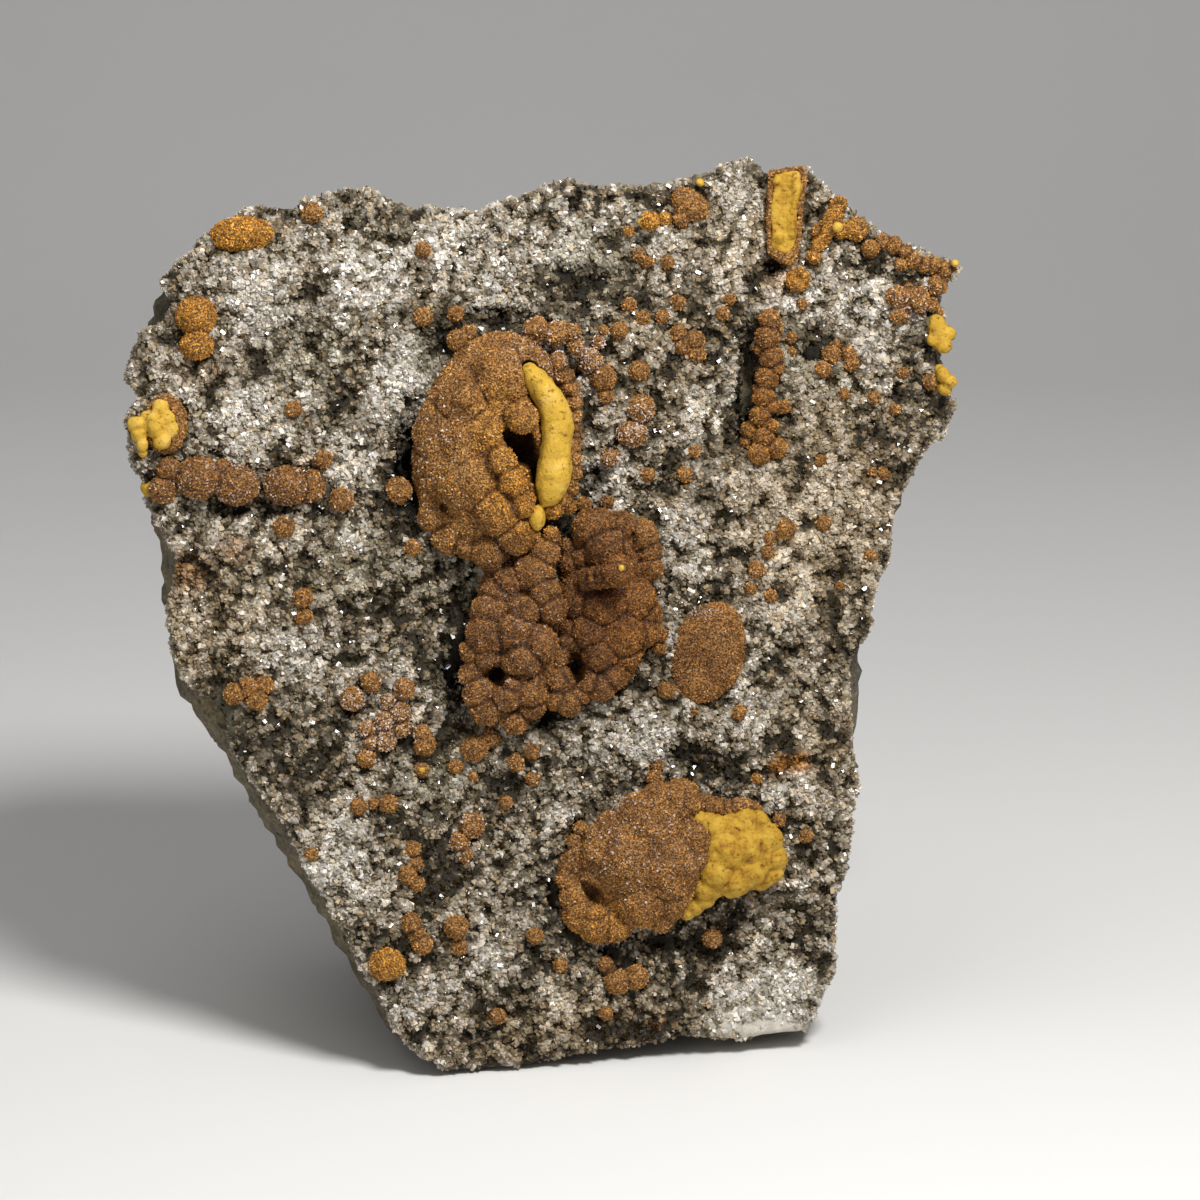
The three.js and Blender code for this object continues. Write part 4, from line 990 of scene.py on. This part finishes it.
def make_basalt_finish():
    """Rough green-grey basalt, tan where it has weathered, with pale specks and dark vesicles."""
    material, tree, shader = finish("basalt")
    spot = face_coordinates(tree)
    colour = ramp(tree, noise(tree, spot, 16, 6, 0.68), [
        (0.42, tuple(settings().basalt_grey)), (0.62, (0.2, 0.155, 0.085))])
    colour = dyed(tree, colour, ramp(tree, noise(tree, spot, 0.9, 4, 0.7), [
        (0.3, (0.35, 0.35, 0.33)), (0.55, (1, 1, 1)), (0.75, (1.8, 1.75, 1.6))]))
    pores = node(tree, "ShaderNodeTexVoronoi", {"Vector": spot, "Scale": 0.3}).outputs["Distance"]
    colour = dyed(tree, colour, ramp(tree, pores, [(0.1, (0.3, 0.32, 0.28)), (0.2, (1, 1, 1))]))
    tree.links.new(colour, shader.inputs["Base Color"])
    shader.inputs["Roughness"].default_value = 0.92
    bumped(tree, shader, noise(tree, spot, 2.4, 6, 0.7), 0.9, 0.9 * MM)
    return material


def druse_tones_and_painted_shade(tree, colour):
    """Colour the druse by place: white, cream, green or rusty in parts, with painted shade low between the
    clumps and in the hollows, and painted light on the clump tops.
    """
    cream = tuple(settings().heulandite_cream)
    colour = mixed(tree, times(tree, attribute(tree, "beige"), 0.5), colour, cream)
    colour = mixed(tree, times(tree, attribute(tree, "green"), 0.45), colour, (0.26, 0.25, 0.17))
    colour = dyed(tree, colour, (1.2, 1.23, 1.27), attribute(tree, "white"))
    colour = mixed(tree, times(tree, attribute(tree, "rust"), 0.92), colour, (0.4, 0.165, 0.014))
    # Painted shade low between the clumps and painted light on their tops, by how high on its clump a place
    # is
    colour = dyed(tree, colour, ramp(tree, risen(tree, -0.35, 0.75), [
        (0, (0.07, 0.052, 0.024)), (0.42, (0.58, 0.52, 0.41)), (1, (1.23, 1.25, 1.28))]))
    colour = dyed(tree, colour, ramp(tree, noise(tree, face_coordinates(tree), 13, 3), [
        (0.36, (0.8, 0.78, 0.75)), (0.62, (1.1, 1.1, 1.1))]))
    # Painted shade in the hollows beside the masses
    return dyed(tree, colour, (0.16, 0.15, 0.12), attribute(tree, "hollow"))


def make_bed_finish():
    """The bed between the crystals: white on the clumps and dark between them, partly its own dark grey and
    partly painted shade; painted shade in the hollows; bare or cleaved in places.
    """
    material, tree, shader = finish("druse_bed")
    white = shade(settings().heulandite_white, 0.75)
    spot = face_coordinates(tree)
    # Bed grey low between the clumps, partly the bed's own colour and partly painted shade; druse white on
    # them
    base = mixed(tree, risen(tree, -0.25, 0.7), tuple(settings().bed_grey_and_gap_shade), druse_tones_and_painted_shade(tree, white))
    base = dyed(tree, base, ramp(tree, noise(tree, spot, 0.6, 3, 0.7), [
        (0.35, (0.35, 0.33, 0.28)), (0.62, (1.25, 1.25, 1.25))]))
    # Painted shade in the hollows beside the masses
    base = dyed(tree, base, (0.2, 0.19, 0.16), attribute(tree, "hollow"))
    base = mixed(tree, attribute(tree, "bare"), base, (0.1, 0.095, 0.06))
    base = mixed(tree, attribute(tree, "cleaved"), base, ramp(tree, noise(tree, spot, 1.6, 5, 0.7), [
        (0.3, (0.42, 0.385, 0.31)), (0.6, (0.58, 0.54, 0.46))]))
    tree.links.new(base, shader.inputs["Base Color"])
    shader.inputs["Roughness"].default_value = 0.85
    shader.inputs["Specular IOR Level"].default_value = 0.2
    bumped(tree, shader, noise(tree, spot, 0.5, 4, 0.7), 0.8, 0.4 * MM)
    return material


def make_crystal_finish(kind):
    """One kind of heulandite crystal: from milky to clear."""
    _, clear, rough = CRYSTALS[kind]
    white = tuple(settings().heulandite_white)
    cream = tuple(settings().heulandite_cream)
    colours = {
        "white": (shade(white, 0.62), shade(white, 1.3)),
        "clear": (shade(white, 0.9), shade(white, 1.5)),
        "cream": (shade(cream, 0.6), shade(cream, 1.5)),
        # Grey crystals, nearly black at their darkest, are partly grey-green crystals and partly painted
        # shade in the gaps
        "grey": ((0.05, 0.04, 0.022), (0.44, 0.39, 0.3)),
    }[kind]
    material, tree, shader = finish("heulandite_" + kind)
    colour = mixed(tree, attribute(tree, "tint"), *colours)
    tree.links.new(druse_tones_and_painted_shade(tree, colour), shader.inputs["Base Color"])
    shader.inputs["Transmission Weight"].default_value = clear
    shader.inputs["Roughness"].default_value = rough
    shader.inputs["IOR"].default_value = 1.5
    return material


def gyrolite_tones_and_painted_shade(tree, colour):
    """Darken a gyrolite colour with painted shade in the creases between nodules and lumps and inside
    cavities, and where the mass is dark.
    """
    # Painted shade in the creases between nodules
    colour = dyed(tree, colour, ramp(tree, attribute(tree, "dip"), [
        (0.45, (1, 1, 1)), (0.75, (0.7, 0.66, 0.62))]))
    # Painted shade in the seams between lumps and inside cavities
    colour = dyed(tree, colour, ramp(tree, attribute(tree, "seam"), [
        (0.25, (1, 1, 1)), (0.7, (0.5, 0.44, 0.38)), (1, (0.24, 0.19, 0.14))]))
    return dyed(tree, colour, (0.34, 0.205, 0.095), attribute(tree, "dark"))


def make_gyrolite_finishes():
    """The sandy skin and the grains on it: brown, golden in places and frosted in others."""
    brown = tuple(settings().gyrolite_brown)
    gold = tuple(settings().gyrolite_gold)
    skin, tree, shader = finish("gyrolite_skin")
    spot = face_coordinates(tree)
    # The skin is darker than the grains on it: painted shade in the gaps between the grains
    colour = mixed(tree, attribute(tree, "gold"), shade(brown, 0.5), shade(gold, 0.55))
    colour = dyed(tree, colour, ramp(tree, noise(tree, spot, 0.4, 2, 0.6), [
        (0.36, (0.16, 0.14, 0.12)), (0.5, (0.75, 0.73, 0.7)), (0.62, (2.1, 2.2, 2.4))]))
    tree.links.new(gyrolite_tones_and_painted_shade(tree, colour), shader.inputs["Base Color"])
    shader.inputs["Roughness"].default_value = 0.85
    bumped(tree, shader, noise(tree, spot, 0.35, 3, 0.7), 0.5, 0.2 * MM)

    grain, tree, shader = finish("gyrolite_grains")
    spot = face_coordinates(tree)
    tint = attribute(tree, "tint")
    plain, rich = (ramp(tree, tint, [
        (0, shade(base, 0.35)), (0.4, shade(base, 0.85)), (0.7, shade(base, 1.2)), (1, palest)])
        for base, palest in ((brown, (0.48, 0.3, 0.145)), (gold, (0.64, 0.37, 0.1))))
    colour = mixed(tree, attribute(tree, "gold"), plain, rich)
    colour = dyed(tree, colour, ramp(tree, noise(tree, spot, 5, 3), [
        (0.35, (0.8, 0.77, 0.74)), (0.65, (1.15, 1.15, 1.15))]))
    colour = dyed(tree, colour, ramp(tree, noise(tree, spot, 0.5, 2, 0.6), [
        (0.36, (0.45, 0.42, 0.39)), (0.64, (1.45, 1.47, 1.5))]))
    share = times(tree, attribute(tree, "frost"), 0.75)
    frosted = maths(tree, "LESS_THAN", attribute(tree, "speck"), share)
    colour = mixed(tree, frosted, colour, tuple(settings().gyrolite_frost))
    tree.links.new(gyrolite_tones_and_painted_shade(tree, colour), shader.inputs["Base Color"])
    shader.inputs["Roughness"].default_value = 0.65
    shader.inputs["Specular IOR Level"].default_value = 0.2
    return skin, grain


def make_core_finish():
    """The waxy yellow core, with brown specks and stains, darker and browner in places, which on the lower
    core is painted shade.
    """
    material, tree, shader = finish("gyrolite_core")
    yellow = tuple(settings().core_yellow)
    spot = face_coordinates(tree)
    fresh = ramp(tree, noise(tree, spot, 4, 4), [
        (0.3, shade(yellow, 0.75)), (0.5, yellow), (0.72, (0.72, 0.47, 0.1))])
    # Darker, browner yellow; on the lower core it is painted shade
    aged = ramp(tree, noise(tree, spot, 2.2, 4), [
        (0.3, (0.3, 0.14, 0.012)), (0.5, (0.46, 0.258, 0.021)), (0.75, (0.55, 0.36, 0.05))])
    colour = mixed(tree, attribute(tree, "aged"), fresh, aged)
    colour = dyed(tree, colour, ramp(tree, noise(tree, spot, 1.1, 4, 0.75), [
        (0.31, (0.3, 0.15, 0.045)), (0.45, (1, 1, 1))]))
    colour = dyed(tree, colour, ramp(tree, attribute(tree, "seam"), [
        (0.4, (1, 1, 1)), (1, (0.8, 0.66, 0.45))]))
    tree.links.new(colour, shader.inputs["Base Color"])
    shader.inputs["Roughness"].default_value = 0.6
    shader.inputs["Specular IOR Level"].default_value = 0.25
    bumped(tree, shader, noise(tree, spot, 0.8, 5, 0.7), 0.9, 0.5 * MM)
    return material


def make_floor_finish():
    """A plain pale floor."""
    material, tree, shader = finish("floor")
    grey = tuple(settings().floor_grey)
    spot = node(tree, "ShaderNodeTexCoord").outputs["Object"]
    colour = ramp(tree, noise(tree, spot, 0.4, 2), [(0.3, shade(grey, 0.97)), (0.7, shade(grey, 1.03))])
    tree.links.new(colour, shader.inputs["Base Color"])
    shader.inputs["Roughness"].default_value = 0.6
    return material


GROWN = ("_velvet", "_wax")  # how the names of the gyrolite's pieces end
FINISHES = {}
TREES = {}
PIECES = {}


def declare(piece, slot, *nodes):
    """Let a piece ride on the plate, in place of CAD nodes where it has any."""
    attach(piece, "root")
    if nodes:
        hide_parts(*nodes)


def spaced(spacing):
    return spacing * 1


def grow_velvet(piece, nodule_size, nodule_height, lowest, lumps=(), level=0.0, seam_width=1.0, knobs=0):
    """The grainy skin of one piece of gyrolite, above a level of the face, with seams between its lumps."""
    places = face_places(piece.data)
    if len(lumps) > 2:
        gaps = gaps_to(places, lumps, level)
        seam = seams(gaps[1:] if level else gaps, seam_width)
        if knobs:
            apart = np.array((gaps[:-knobs].min(axis=0), gaps[-knobs:].min(axis=0)))
            seam = np.maximum(seam, seams(apart, RING_WIDTH * seam_width))
        # The seam mask also covers the insides of cavities; the finishes darken both as painted shade
        cavity = np.clip((-CAVITY_START - gaps.min(axis=0)) / CAVITY_FADE, 0, 1)
        store(piece.data, "seam", np.maximum(seam, cavity))
        moved_in(piece.data, SEAM_DEPTH * seam_width * seam * (1 - cavity))
    for name, spots in (("gold", GOLD), ("frost", FROST), ("dark", DARK)):
        store(piece.data, name, patches(places, spots))
    given = settings()
    run_tree(piece, TREES["velvet"], {
        "Nodule size": nodule_size * MM, "Nodule height": nodule_height * MM, "Grain size": given.grain_size,
        "Grain spacing": spaced(given.grain_spacing), "Lowest": lowest * MM, "Seed": GRAIN_SEED,
        "Skin": FINISHES["skin"], "Grain": FINISHES["grain"]})


def make_mass(name, mass, voxel, softenings, nodule_size, nodule_height, holes=()):
    """A mass of gyrolite from its lumps, in place of the node of its name."""
    level = mass["level"]
    piece = lump_object(name + "_velvet", mass["lumps"], level)
    if mass["holes"]:
        holes = [lump_object("hole", mass["holes"], level), *holes]
    knobs = [lump_object("knob", mass["knobs"], level)] if mass["knobs"] else []
    fused(piece, voxel, softenings, holes, knobs)
    every = [*mass["lumps"], *mass["knobs"]]
    grow_velvet(
        piece, nodule_size, nodule_height, level - 2, every, level, mass["seam"], len(mass["knobs"]))
    declare(piece, "gyrolite", name)


def grow_wax(piece, nodule_size, nodule_height, lumps=(), level=0.0):
    """The waxy skin of one yellow core."""
    places = face_places(piece.data)
    store(piece.data, "aged", patches(places, DARKER_CORES))
    if len(lumps) > 2:
        seam = seams(gaps_to(places, lumps[1:], level), CORE_SEAM_WIDTH)
        store(piece.data, "seam", seam)
        moved_in(piece.data, CORE_SEAM_DEPTH * seam)
    run_tree(piece, TREES["wax"], {
        "Nodule size": nodule_size * MM, "Nodule height": nodule_height * MM, "Skin": FINISHES["core"]})


def make_core(name, lumps, level, voxel, nodule_size, nodule_height, holes=(), seamed=False):
    """A waxy yellow core from its lumps, in place of the node of its name if there is one."""
    piece = lump_object(name + "_wax", lumps, level)
    fused(piece, voxel, 2, holes)
    grow_wax(piece, nodule_size, nodule_height, lumps if seamed else (), level)
    declare(piece, "gyrolite_core", *([name] if name in frame["nodes"] else []))


class SPECIMEN_OT_finishes(bpy.types.Operator):
    """Make the specimen's finishes and node trees"""

    bl_idname = "specimen.finishes"
    bl_label = "Finishes"

    def execute(self, context):
        FINISHES["skin"], FINISHES["grain"] = make_gyrolite_finishes()
        FINISHES["core"] = make_core_finish()
        FINISHES["basalt"] = make_basalt_finish()
        FINISHES["bed"] = make_bed_finish()
        for kind in CRYSTALS:
            FINISHES[kind] = make_crystal_finish(kind)
        TREES["velvet"] = velvet_tree()
        TREES["wax"] = wax_tree()
        TREES["rock"] = rock_tree()
        TREES["bed"] = bed_tree()
        TREES["crystals"] = crystal_tree()
        return {"FINISHED"}


class SPECIMEN_OT_basalt(bpy.types.Operator):
    """Make the basalt plate"""

    bl_idname = "specimen.basalt"
    bl_label = "Basalt plate"

    def execute(self, context):
        piece = fused(node_copy("basalt_plate", "basalt_matrix"), 2.5, 2)
        rougher = 1 + 0.8 * np.clip(0.5 - outward_share(piece.data), 0, 1)  # at the sides and back
        store(piece.data, "loose", rougher * np.clip((heights(piece.data) - 0.5) / 4, 0, 1))
        run_tree(piece, TREES["rock"], {
            "Chip size": 7 * MM, "Chip height": 2.2 * MM, "Skin": FINISHES["basalt"]})
        declare(piece, "basalt", "basalt_matrix")
        return {"FINISHED"}


class SPECIMEN_OT_masses(bpy.types.Operator):
    """Make the dome, the two lobes, the disc and the lower mass, with the cores in their broken sides"""

    bl_idname = "specimen.masses"
    bl_label = "Gyrolite masses"

    def execute(self, context):
        groove = lump_object("groove", DOME_CORE, DOME["level"], 0.35)
        make_mass("gyrolite_dome", DOME, voxel=0.58, softenings=1, nodule_size=3.8, nodule_height=1.1,
                  holes=[groove])
        make_core("dome_core", DOME_CORE, DOME["level"], voxel=0.5, nodule_size=3.2, nodule_height=0.6)
        make_mass("gyrolite_left_lobe", LEFT_LOBE, voxel=0.52, softenings=2, nodule_size=3.2,
                  nodule_height=0.7)
        make_mass("gyrolite_right_lobe", RIGHT_LOBE, voxel=0.52, softenings=1, nodule_size=3.0,
                  nodule_height=0.6)
        make_core("lobe_tip", LOBE_TIP, RIGHT_LOBE["level"], voxel=0.3, nodule_size=1.2, nodule_height=0.2)
        make_mass("gyrolite_disc", DISC, voxel=0.52, softenings=2, nodule_size=6.0, nodule_height=0.25)
        level = LOWER_SHELL["level"]
        broken = prism_object("broken", LOWER_BREAK, level - 20, level + 30)
        make_mass("gyrolite_lower_shell", LOWER_SHELL, voxel=0.55, softenings=4, nodule_size=3.6,
                  nodule_height=0.6, holes=[broken])
        pits = lump_object("pits", CORE_PITS, level)
        make_core("lower_core", LOWER_CORE, level, voxel=0.42, nodule_size=2.1, nodule_height=1.1,
                  holes=[pits], seamed=True)
        return {"FINISHED"}


class SPECIMEN_OT_chains(bpy.types.Operator):
    """Make the fingers, chains, clusters and larger balls of gyrolite and the cores that stand alone"""

    bl_idname = "specimen.chains"
    bl_label = "Gyrolite chains"

    def execute(self, context):
        ground = Ground(PIECES["bed"])
        for name, lumps in CHAINS.items():
            placed = ground.standing(lumps)
            holes = [lump_object("hole", ground.standing(MOUTHS[name]))] if name in MOUTHS else []
            piece = fused(lump_object(name + "_velvet", placed), 0.4, 0, holes)
            lowest = min(lump[2] for lump in placed) - 1.5
            grow_velvet(piece, *SMALL_NODULES, lowest, placed, seam_width=0.6)
            declare(piece, "gyrolite", name)
        for name, lumps in CORE_CHAINS.items():
            make_core(name, ground.standing(lumps), 0, voxel=0.42, nodule_size=2.2, nodule_height=0.5,
                      seamed=True)
        return {"FINISHED"}


class SPECIMEN_OT_shells(bpy.types.Operator):
    """Make the broken pocket at the left and the broken tube at the top right"""

    bl_idname = "specimen.shells"
    bl_label = "Broken shells"

    def execute(self, context):
        pocket = fused(node_copy("left_pocket_shell_velvet", "left_pocket_shell"), 0.42, 2)
        grow_velvet(pocket, *SMALL_NODULES, -FAR_OUT)
        declare(pocket, "gyrolite", "left_pocket_shell")
        level = Ground(PIECES["bed"]).height(47.5, 172)
        front = level + TUBE_FRONT["core"]
        hollow = prism_object("hollow", TUBE_CORE, front - 2.2, front + 4)
        shell = prism_object("tube_shell_velvet", TUBE_SHELL, level - 2, level + TUBE_FRONT["shell"])
        fused(shell, 0.3, 1, [hollow])
        grow_velvet(shell, *SMALL_NODULES, -FAR_OUT)
        declare(shell, "gyrolite", "tube_shell")
        core = prism_object("tube_core_wax", TUBE_CORE, level - 1, front)
        ridge = lump_object("ridge", Ground(core).standing(TUBE_RIDGE))
        fused(core, 0.4, 3, knobs=[ridge])
        grow_wax(core, 3.4, 1.0)
        declare(core, "gyrolite_core", "tube_core")
        return {"FINISHED"}


class SPECIMEN_OT_balls(bpy.types.Operator):
    """Make the small balls of gyrolite and the specks of core on broken ones"""

    bl_idname = "specimen.balls"
    bl_label = "Small balls"

    def execute(self, context):
        carriers = [obj for obj in context.scene.collection.objects if obj.name.endswith(GROWN)]
        ground = Ground(PIECES["bed"], *carriers)
        lift = 0.3  # how far above the ground a ball's middle is, in radii
        placed = [(x, y, ground.height(x, y) + lift * r, r) for x, y, r in SMALL_BALLS]
        piece = lump_object("gyrolite_small_balls", placed, detail=2)
        grow_velvet(piece, 1.1, 0.2, -FAR_OUT)
        declare(piece, "gyrolite")
        specks = [(x, y, z + ground.height(x, y), r) for x, y, z, r in CORE_SPECKS]
        make_core("core_specks", specks, 0, voxel=0.25, nodule_size=1.2, nodule_height=0.25)
        return {"FINISHED"}


def crystal_shape(name, points, faces):
    mesh = bpy.data.meshes.new(name)
    mesh.from_pydata(points, [], faces)
    return linked(name, mesh)


def blunt_crystal():
    """A tablet of heulandite: a tapering block with a slanting top."""
    low, high, half, thick = -0.4, 0.45, 0.42, 0.38
    corners = ((-1, -1), (1, -1), (1, 1), (-1, 1))
    points = [(x * half * 0.8, y * thick, low) for x, y in corners]
    points += [(x * half + 0.05, y * thick * 0.7, high + 0.16 * x - 0.07 * y) for x, y in corners]
    faces = [(4, 5, 6, 7), (0, 1, 5, 4), (1, 2, 6, 5), (2, 3, 7, 6), (3, 0, 4, 7)]
    return crystal_shape("blunt_crystal", points, faces)


def sharp_crystal():
    """A wedge of heulandite: four sides that meet in a short edge."""
    low, tip, half, thick = -0.4, 0.62, 0.46, 0.4
    points = [(x * half, y * thick, low) for x, y in ((-1, -1), (1, -1), (1, 1), (-1, 1))]
    points += [(-half * 0.4, 0.06, tip), (half * 0.45, -0.04, tip * 0.9)]
    faces = [(0, 1, 5, 4), (1, 2, 5), (2, 3, 4, 5), (3, 0, 4)]
    return crystal_shape("sharp_crystal", points, faces)


def chip_crystal():
    """A three-sided crystal of heulandite with a slanting top."""
    low, high, half = -0.4, 0.48, 0.48
    corners = [(half * math.cos(angle), half * math.sin(angle)) for angle in (0.2, 2.4, 4.3)]
    points = [(x, y, low) for x, y in corners]
    points += [(x * 0.75 + 0.04, y * 0.75, high + 0.35 * x) for x, y in corners]
    return crystal_shape("chip_crystal", points, [(3, 4, 5), (0, 1, 4, 3), (1, 2, 5, 4), (2, 0, 3, 5)])


class SPECIMEN_OT_bed(bpy.types.Operator):
    """Make the bed of the druse"""

    bl_idname = "specimen.bed"
    bl_label = "Druse bed"

    def execute(self, context):
        given = settings()
        bed = fused(node_copy("druse_bed", "heulandite_druse"), 0.9, 2)
        thinned(bed, outward_share(bed.data) < -0.5, 0.56)
        places = face_places(bed.data)
        zones = {"white": WHITE, "beige": BEIGE, "green": GREEN, "dim": DIM, "rust": RUST,
                 "cleaved": CLEAVED, "bare": BARE}
        for name, spots in zones.items():
            store(bed.data, name, patches(places, spots))
        self.sink(bed.data, patches(places, HOLLOW))
        smooth = np.maximum(read(bed.data, "cleaved"), 0.7 * read(bed.data, "bare"))
        store(bed.data, "loose", np.clip((heights(bed.data) - 0.8) / 3, 0, 1) * (1 - 0.85 * smooth))
        run_tree(bed, TREES["bed"], {
            "Clump size": given.clump_size, "Clump height": given.clump_height, "Skin": FINISHES["bed"]})
        mesh = bed.data
        # The hill also sets how light the druse is, so lowering it in the dim places and hollows paints
        # shade there
        hill = read(mesh, "hill") + 0.55 * read(mesh, "white")
        store(mesh, "hill", hill - 0.6 * read(mesh, "dim") - 0.3 * read(mesh, "hollow"))
        declare(bed, "heulandite", "heulandite_druse")
        PIECES["bed"] = bed
        return {"FINISHED"}

    def sink(self, mesh, hollow):
        """Sink the front of the bed where it has hollows."""
        store(mesh, "hollow", hollow)
        depth = HOLLOW_DEPTH * MM * hollow * np.clip(outward_share(mesh) * 2, 0, 1)
        place_vertices(mesh, vertex_places(mesh) - depth[:, None] * np.array(OUTWARD))


class SPECIMEN_OT_crystals(bpy.types.Operator):
    """Strew four kinds of crystals over the bed, except under the gyrolite"""

    bl_idname = "specimen.crystals"
    bl_label = "Heulandite crystals"

    def execute(self, context):
        given = settings()
        bed = PIECES["bed"]
        self.share_out(bed.data)
        shapes = {"Blunt": blunt_crystal(), "Sharp": sharp_crystal(), "Chip": chip_crystal()}
        cover = self.make_cover()
        for kind, (seed, *_) in CRYSTALS.items():
            piece = linked("crystals_" + kind, bed.data.copy())
            run_tree(piece, TREES["crystals"], {
                **shapes, "Cover": cover, "Share": "share_" + kind, "Seed": seed, "Finish": FINISHES[kind],
                "Spacing": spaced(given.crystal_spacing), "Size": given.crystal_size, "Tilt": CRYSTAL_TILT})
            declare(piece, "heulandite")
        for helper in (cover, *shapes.values()):
            removed(helper)
        return {"FINISHED"}

    def share_out(self, mesh):
        """Store how thickly each kind of crystal grows at each place of the bed."""
        white, beige, green = (read(mesh, name) for name in ("white", "beige", "green"))
        front = np.clip((outward_share(mesh) + 0.25) / 0.4, 0, 1)
        bare = np.maximum(read(mesh, "cleaved"), read(mesh, "bare"))
        off_floor = np.clip((heights(mesh) - 1) / 2, 0, 1)
        grown = front * off_floor * (1 - bare) * (1 - 0.3 * read(mesh, "hollow"))
        tops = grown * (0.12 + 0.88 * np.clip((read(mesh, "hill") + 0.45) / 0.9, 0, 1))
        store(mesh, "share_white", np.clip(tops * (0.4 + 0.35 * white - 0.2 * beige - 0.2 * green), 0, 1))
        store(mesh, "share_clear", np.clip(tops * 0.12, 0, 1))
        store(mesh, "share_cream", np.clip(tops * (0.27 + 0.35 * beige - 0.14 * white), 0, 1))
        # Grey crystals grow low between the clumps too, partly as painted shade in the gaps
        store(mesh, "share_grey", np.clip(grown * (0.2 + 0.2 * green), 0, 1))

    def make_cover(self):
        """One mesh of all that stands on the druse."""
        shape = bmesh.new()
        for obj in bpy.context.scene.collection.objects:
            if obj.name.endswith(GROWN) or obj.name == "gyrolite_small_balls":
                shape.from_mesh(obj.data)
        return solid("cover", shape)


# Lights: place, size, power; and what the lights and the camera aim at on the face
LIGHTS = {
    "key": ((0.22, -0.383, 0.651), 0.22, 6.6), "fill": ((-0.5, -1.0, 0.4), 0.9, 2),
    "top": ((-0.3, -0.1, 1.1), 0.8, 2.7),
}
LIT_PLACE = (0, 90, 0)
SEEN_PLACE = (10, 94.4, 0)


def aimed(obj, place, target):
    obj.location = place
    obj.rotation_euler = (Vector(target) - Vector(place)).to_track_quat("-Z", "Y").to_euler()


class SPECIMEN_OT_stage(bpy.types.Operator):
    """Make the floor, the soft studio light and the camera"""

    bl_idname = "specimen.stage"
    bl_label = "Stage"

    def execute(self, context):
        self.make_floor()
        for name, (place, size, power) in LIGHTS.items():
            self.add_light(name, place, FACE @ Vector(LIT_PLACE), size, power)
        world = bpy.data.worlds.new("studio")
        world.use_nodes = True
        world.node_tree.nodes["Background"].inputs["Color"].default_value = (0.9, 0.93, 1, 1)
        world.node_tree.nodes["Background"].inputs["Strength"].default_value = 0.1
        context.scene.world = world
        self.add_camera(context.scene)
        context.scene.view_settings.view_transform = "Standard"
        return {"FINISHED"}

    def make_floor(self):
        """A sheet that lies flat and then bends up behind the specimen."""
        width, front, bend, radius, top, steps = 3.0, -2.0, 0.6, 0.5, 2.0, 16
        profile = [(front, 0)]
        for step in range(steps + 1):
            angle = math.pi / 2 * step / steps
            profile.append((bend + radius * math.sin(angle), radius * (1 - math.cos(angle))))
        profile.append((bend + radius, top))
        points = [(side * width, y, z) for y, z in profile for side in (-1, 1)]
        faces = [(2 * i, 2 * i + 1, 2 * i + 3, 2 * i + 2) for i in range(len(profile) - 1)]
        mesh = bpy.data.meshes.new("floor")
        mesh.from_pydata(points, [], faces)
        mesh.materials.append(make_floor_finish())
        mesh.shade_smooth()
        linked("floor", mesh)

    def add_light(self, name, place, target, size, power):
        lamp = bpy.data.lights.new(name, "AREA")
        lamp.shape = "DISK"
        lamp.size = size
        lamp.energy = power
        aimed(linked(name, lamp), place, target)

    def add_camera(self, scene):
        given = settings()
        camera = bpy.data.cameras.new("camera")
        camera.lens = camera.sensor_width * given.camera_distance / given.view_width
        camera.clip_end = 10
        target = FACE @ Vector(SEEN_PLACE)
        obj = linked("camera", camera)
        aimed(obj, target + OUTWARD * given.camera_distance, target)
        scene.camera = obj


class SPECIMEN_PT_panel(bpy.types.Panel):
    """The specimen's steps and sizes"""

    bl_idname = "SPECIMEN_PT_panel"
    bl_label = "Gyrolite on heulandite"
    bl_space_type = "VIEW_3D"
    bl_region_type = "UI"
    bl_category = "Specimen"

    def draw(self, context):
        for step in STEPS:
            self.layout.operator(step.bl_idname)
        for name in SpecimenSettings.__annotations__:
            self.layout.prop(context.scene.gyrolite_specimen, name)


STEPS = (
    SPECIMEN_OT_finishes, SPECIMEN_OT_basalt, SPECIMEN_OT_masses, SPECIMEN_OT_bed, SPECIMEN_OT_chains,
    SPECIMEN_OT_shells, SPECIMEN_OT_balls, SPECIMEN_OT_crystals, SPECIMEN_OT_stage,
)
CLASSES = (SpecimenSettings, *STEPS, SPECIMEN_PT_panel)


def register():
    for cls in CLASSES:
        bpy.utils.register_class(cls)
    bpy.types.Scene.gyrolite_specimen = bpy.props.PointerProperty(type=SpecimenSettings)


def unregister():
    del bpy.types.Scene.gyrolite_specimen
    for cls in reversed(CLASSES):
        bpy.utils.unregister_class(cls)


def main():
    register()
    bpy.ops.specimen.finishes()
    bpy.ops.specimen.basalt()
    bpy.ops.specimen.masses()
    bpy.ops.specimen.bed()
    bpy.ops.specimen.chains()
    bpy.ops.specimen.shells()
    bpy.ops.specimen.balls()
    bpy.ops.specimen.crystals()
    bpy.ops.specimen.stage()


if __name__ == "__main__":
    main()
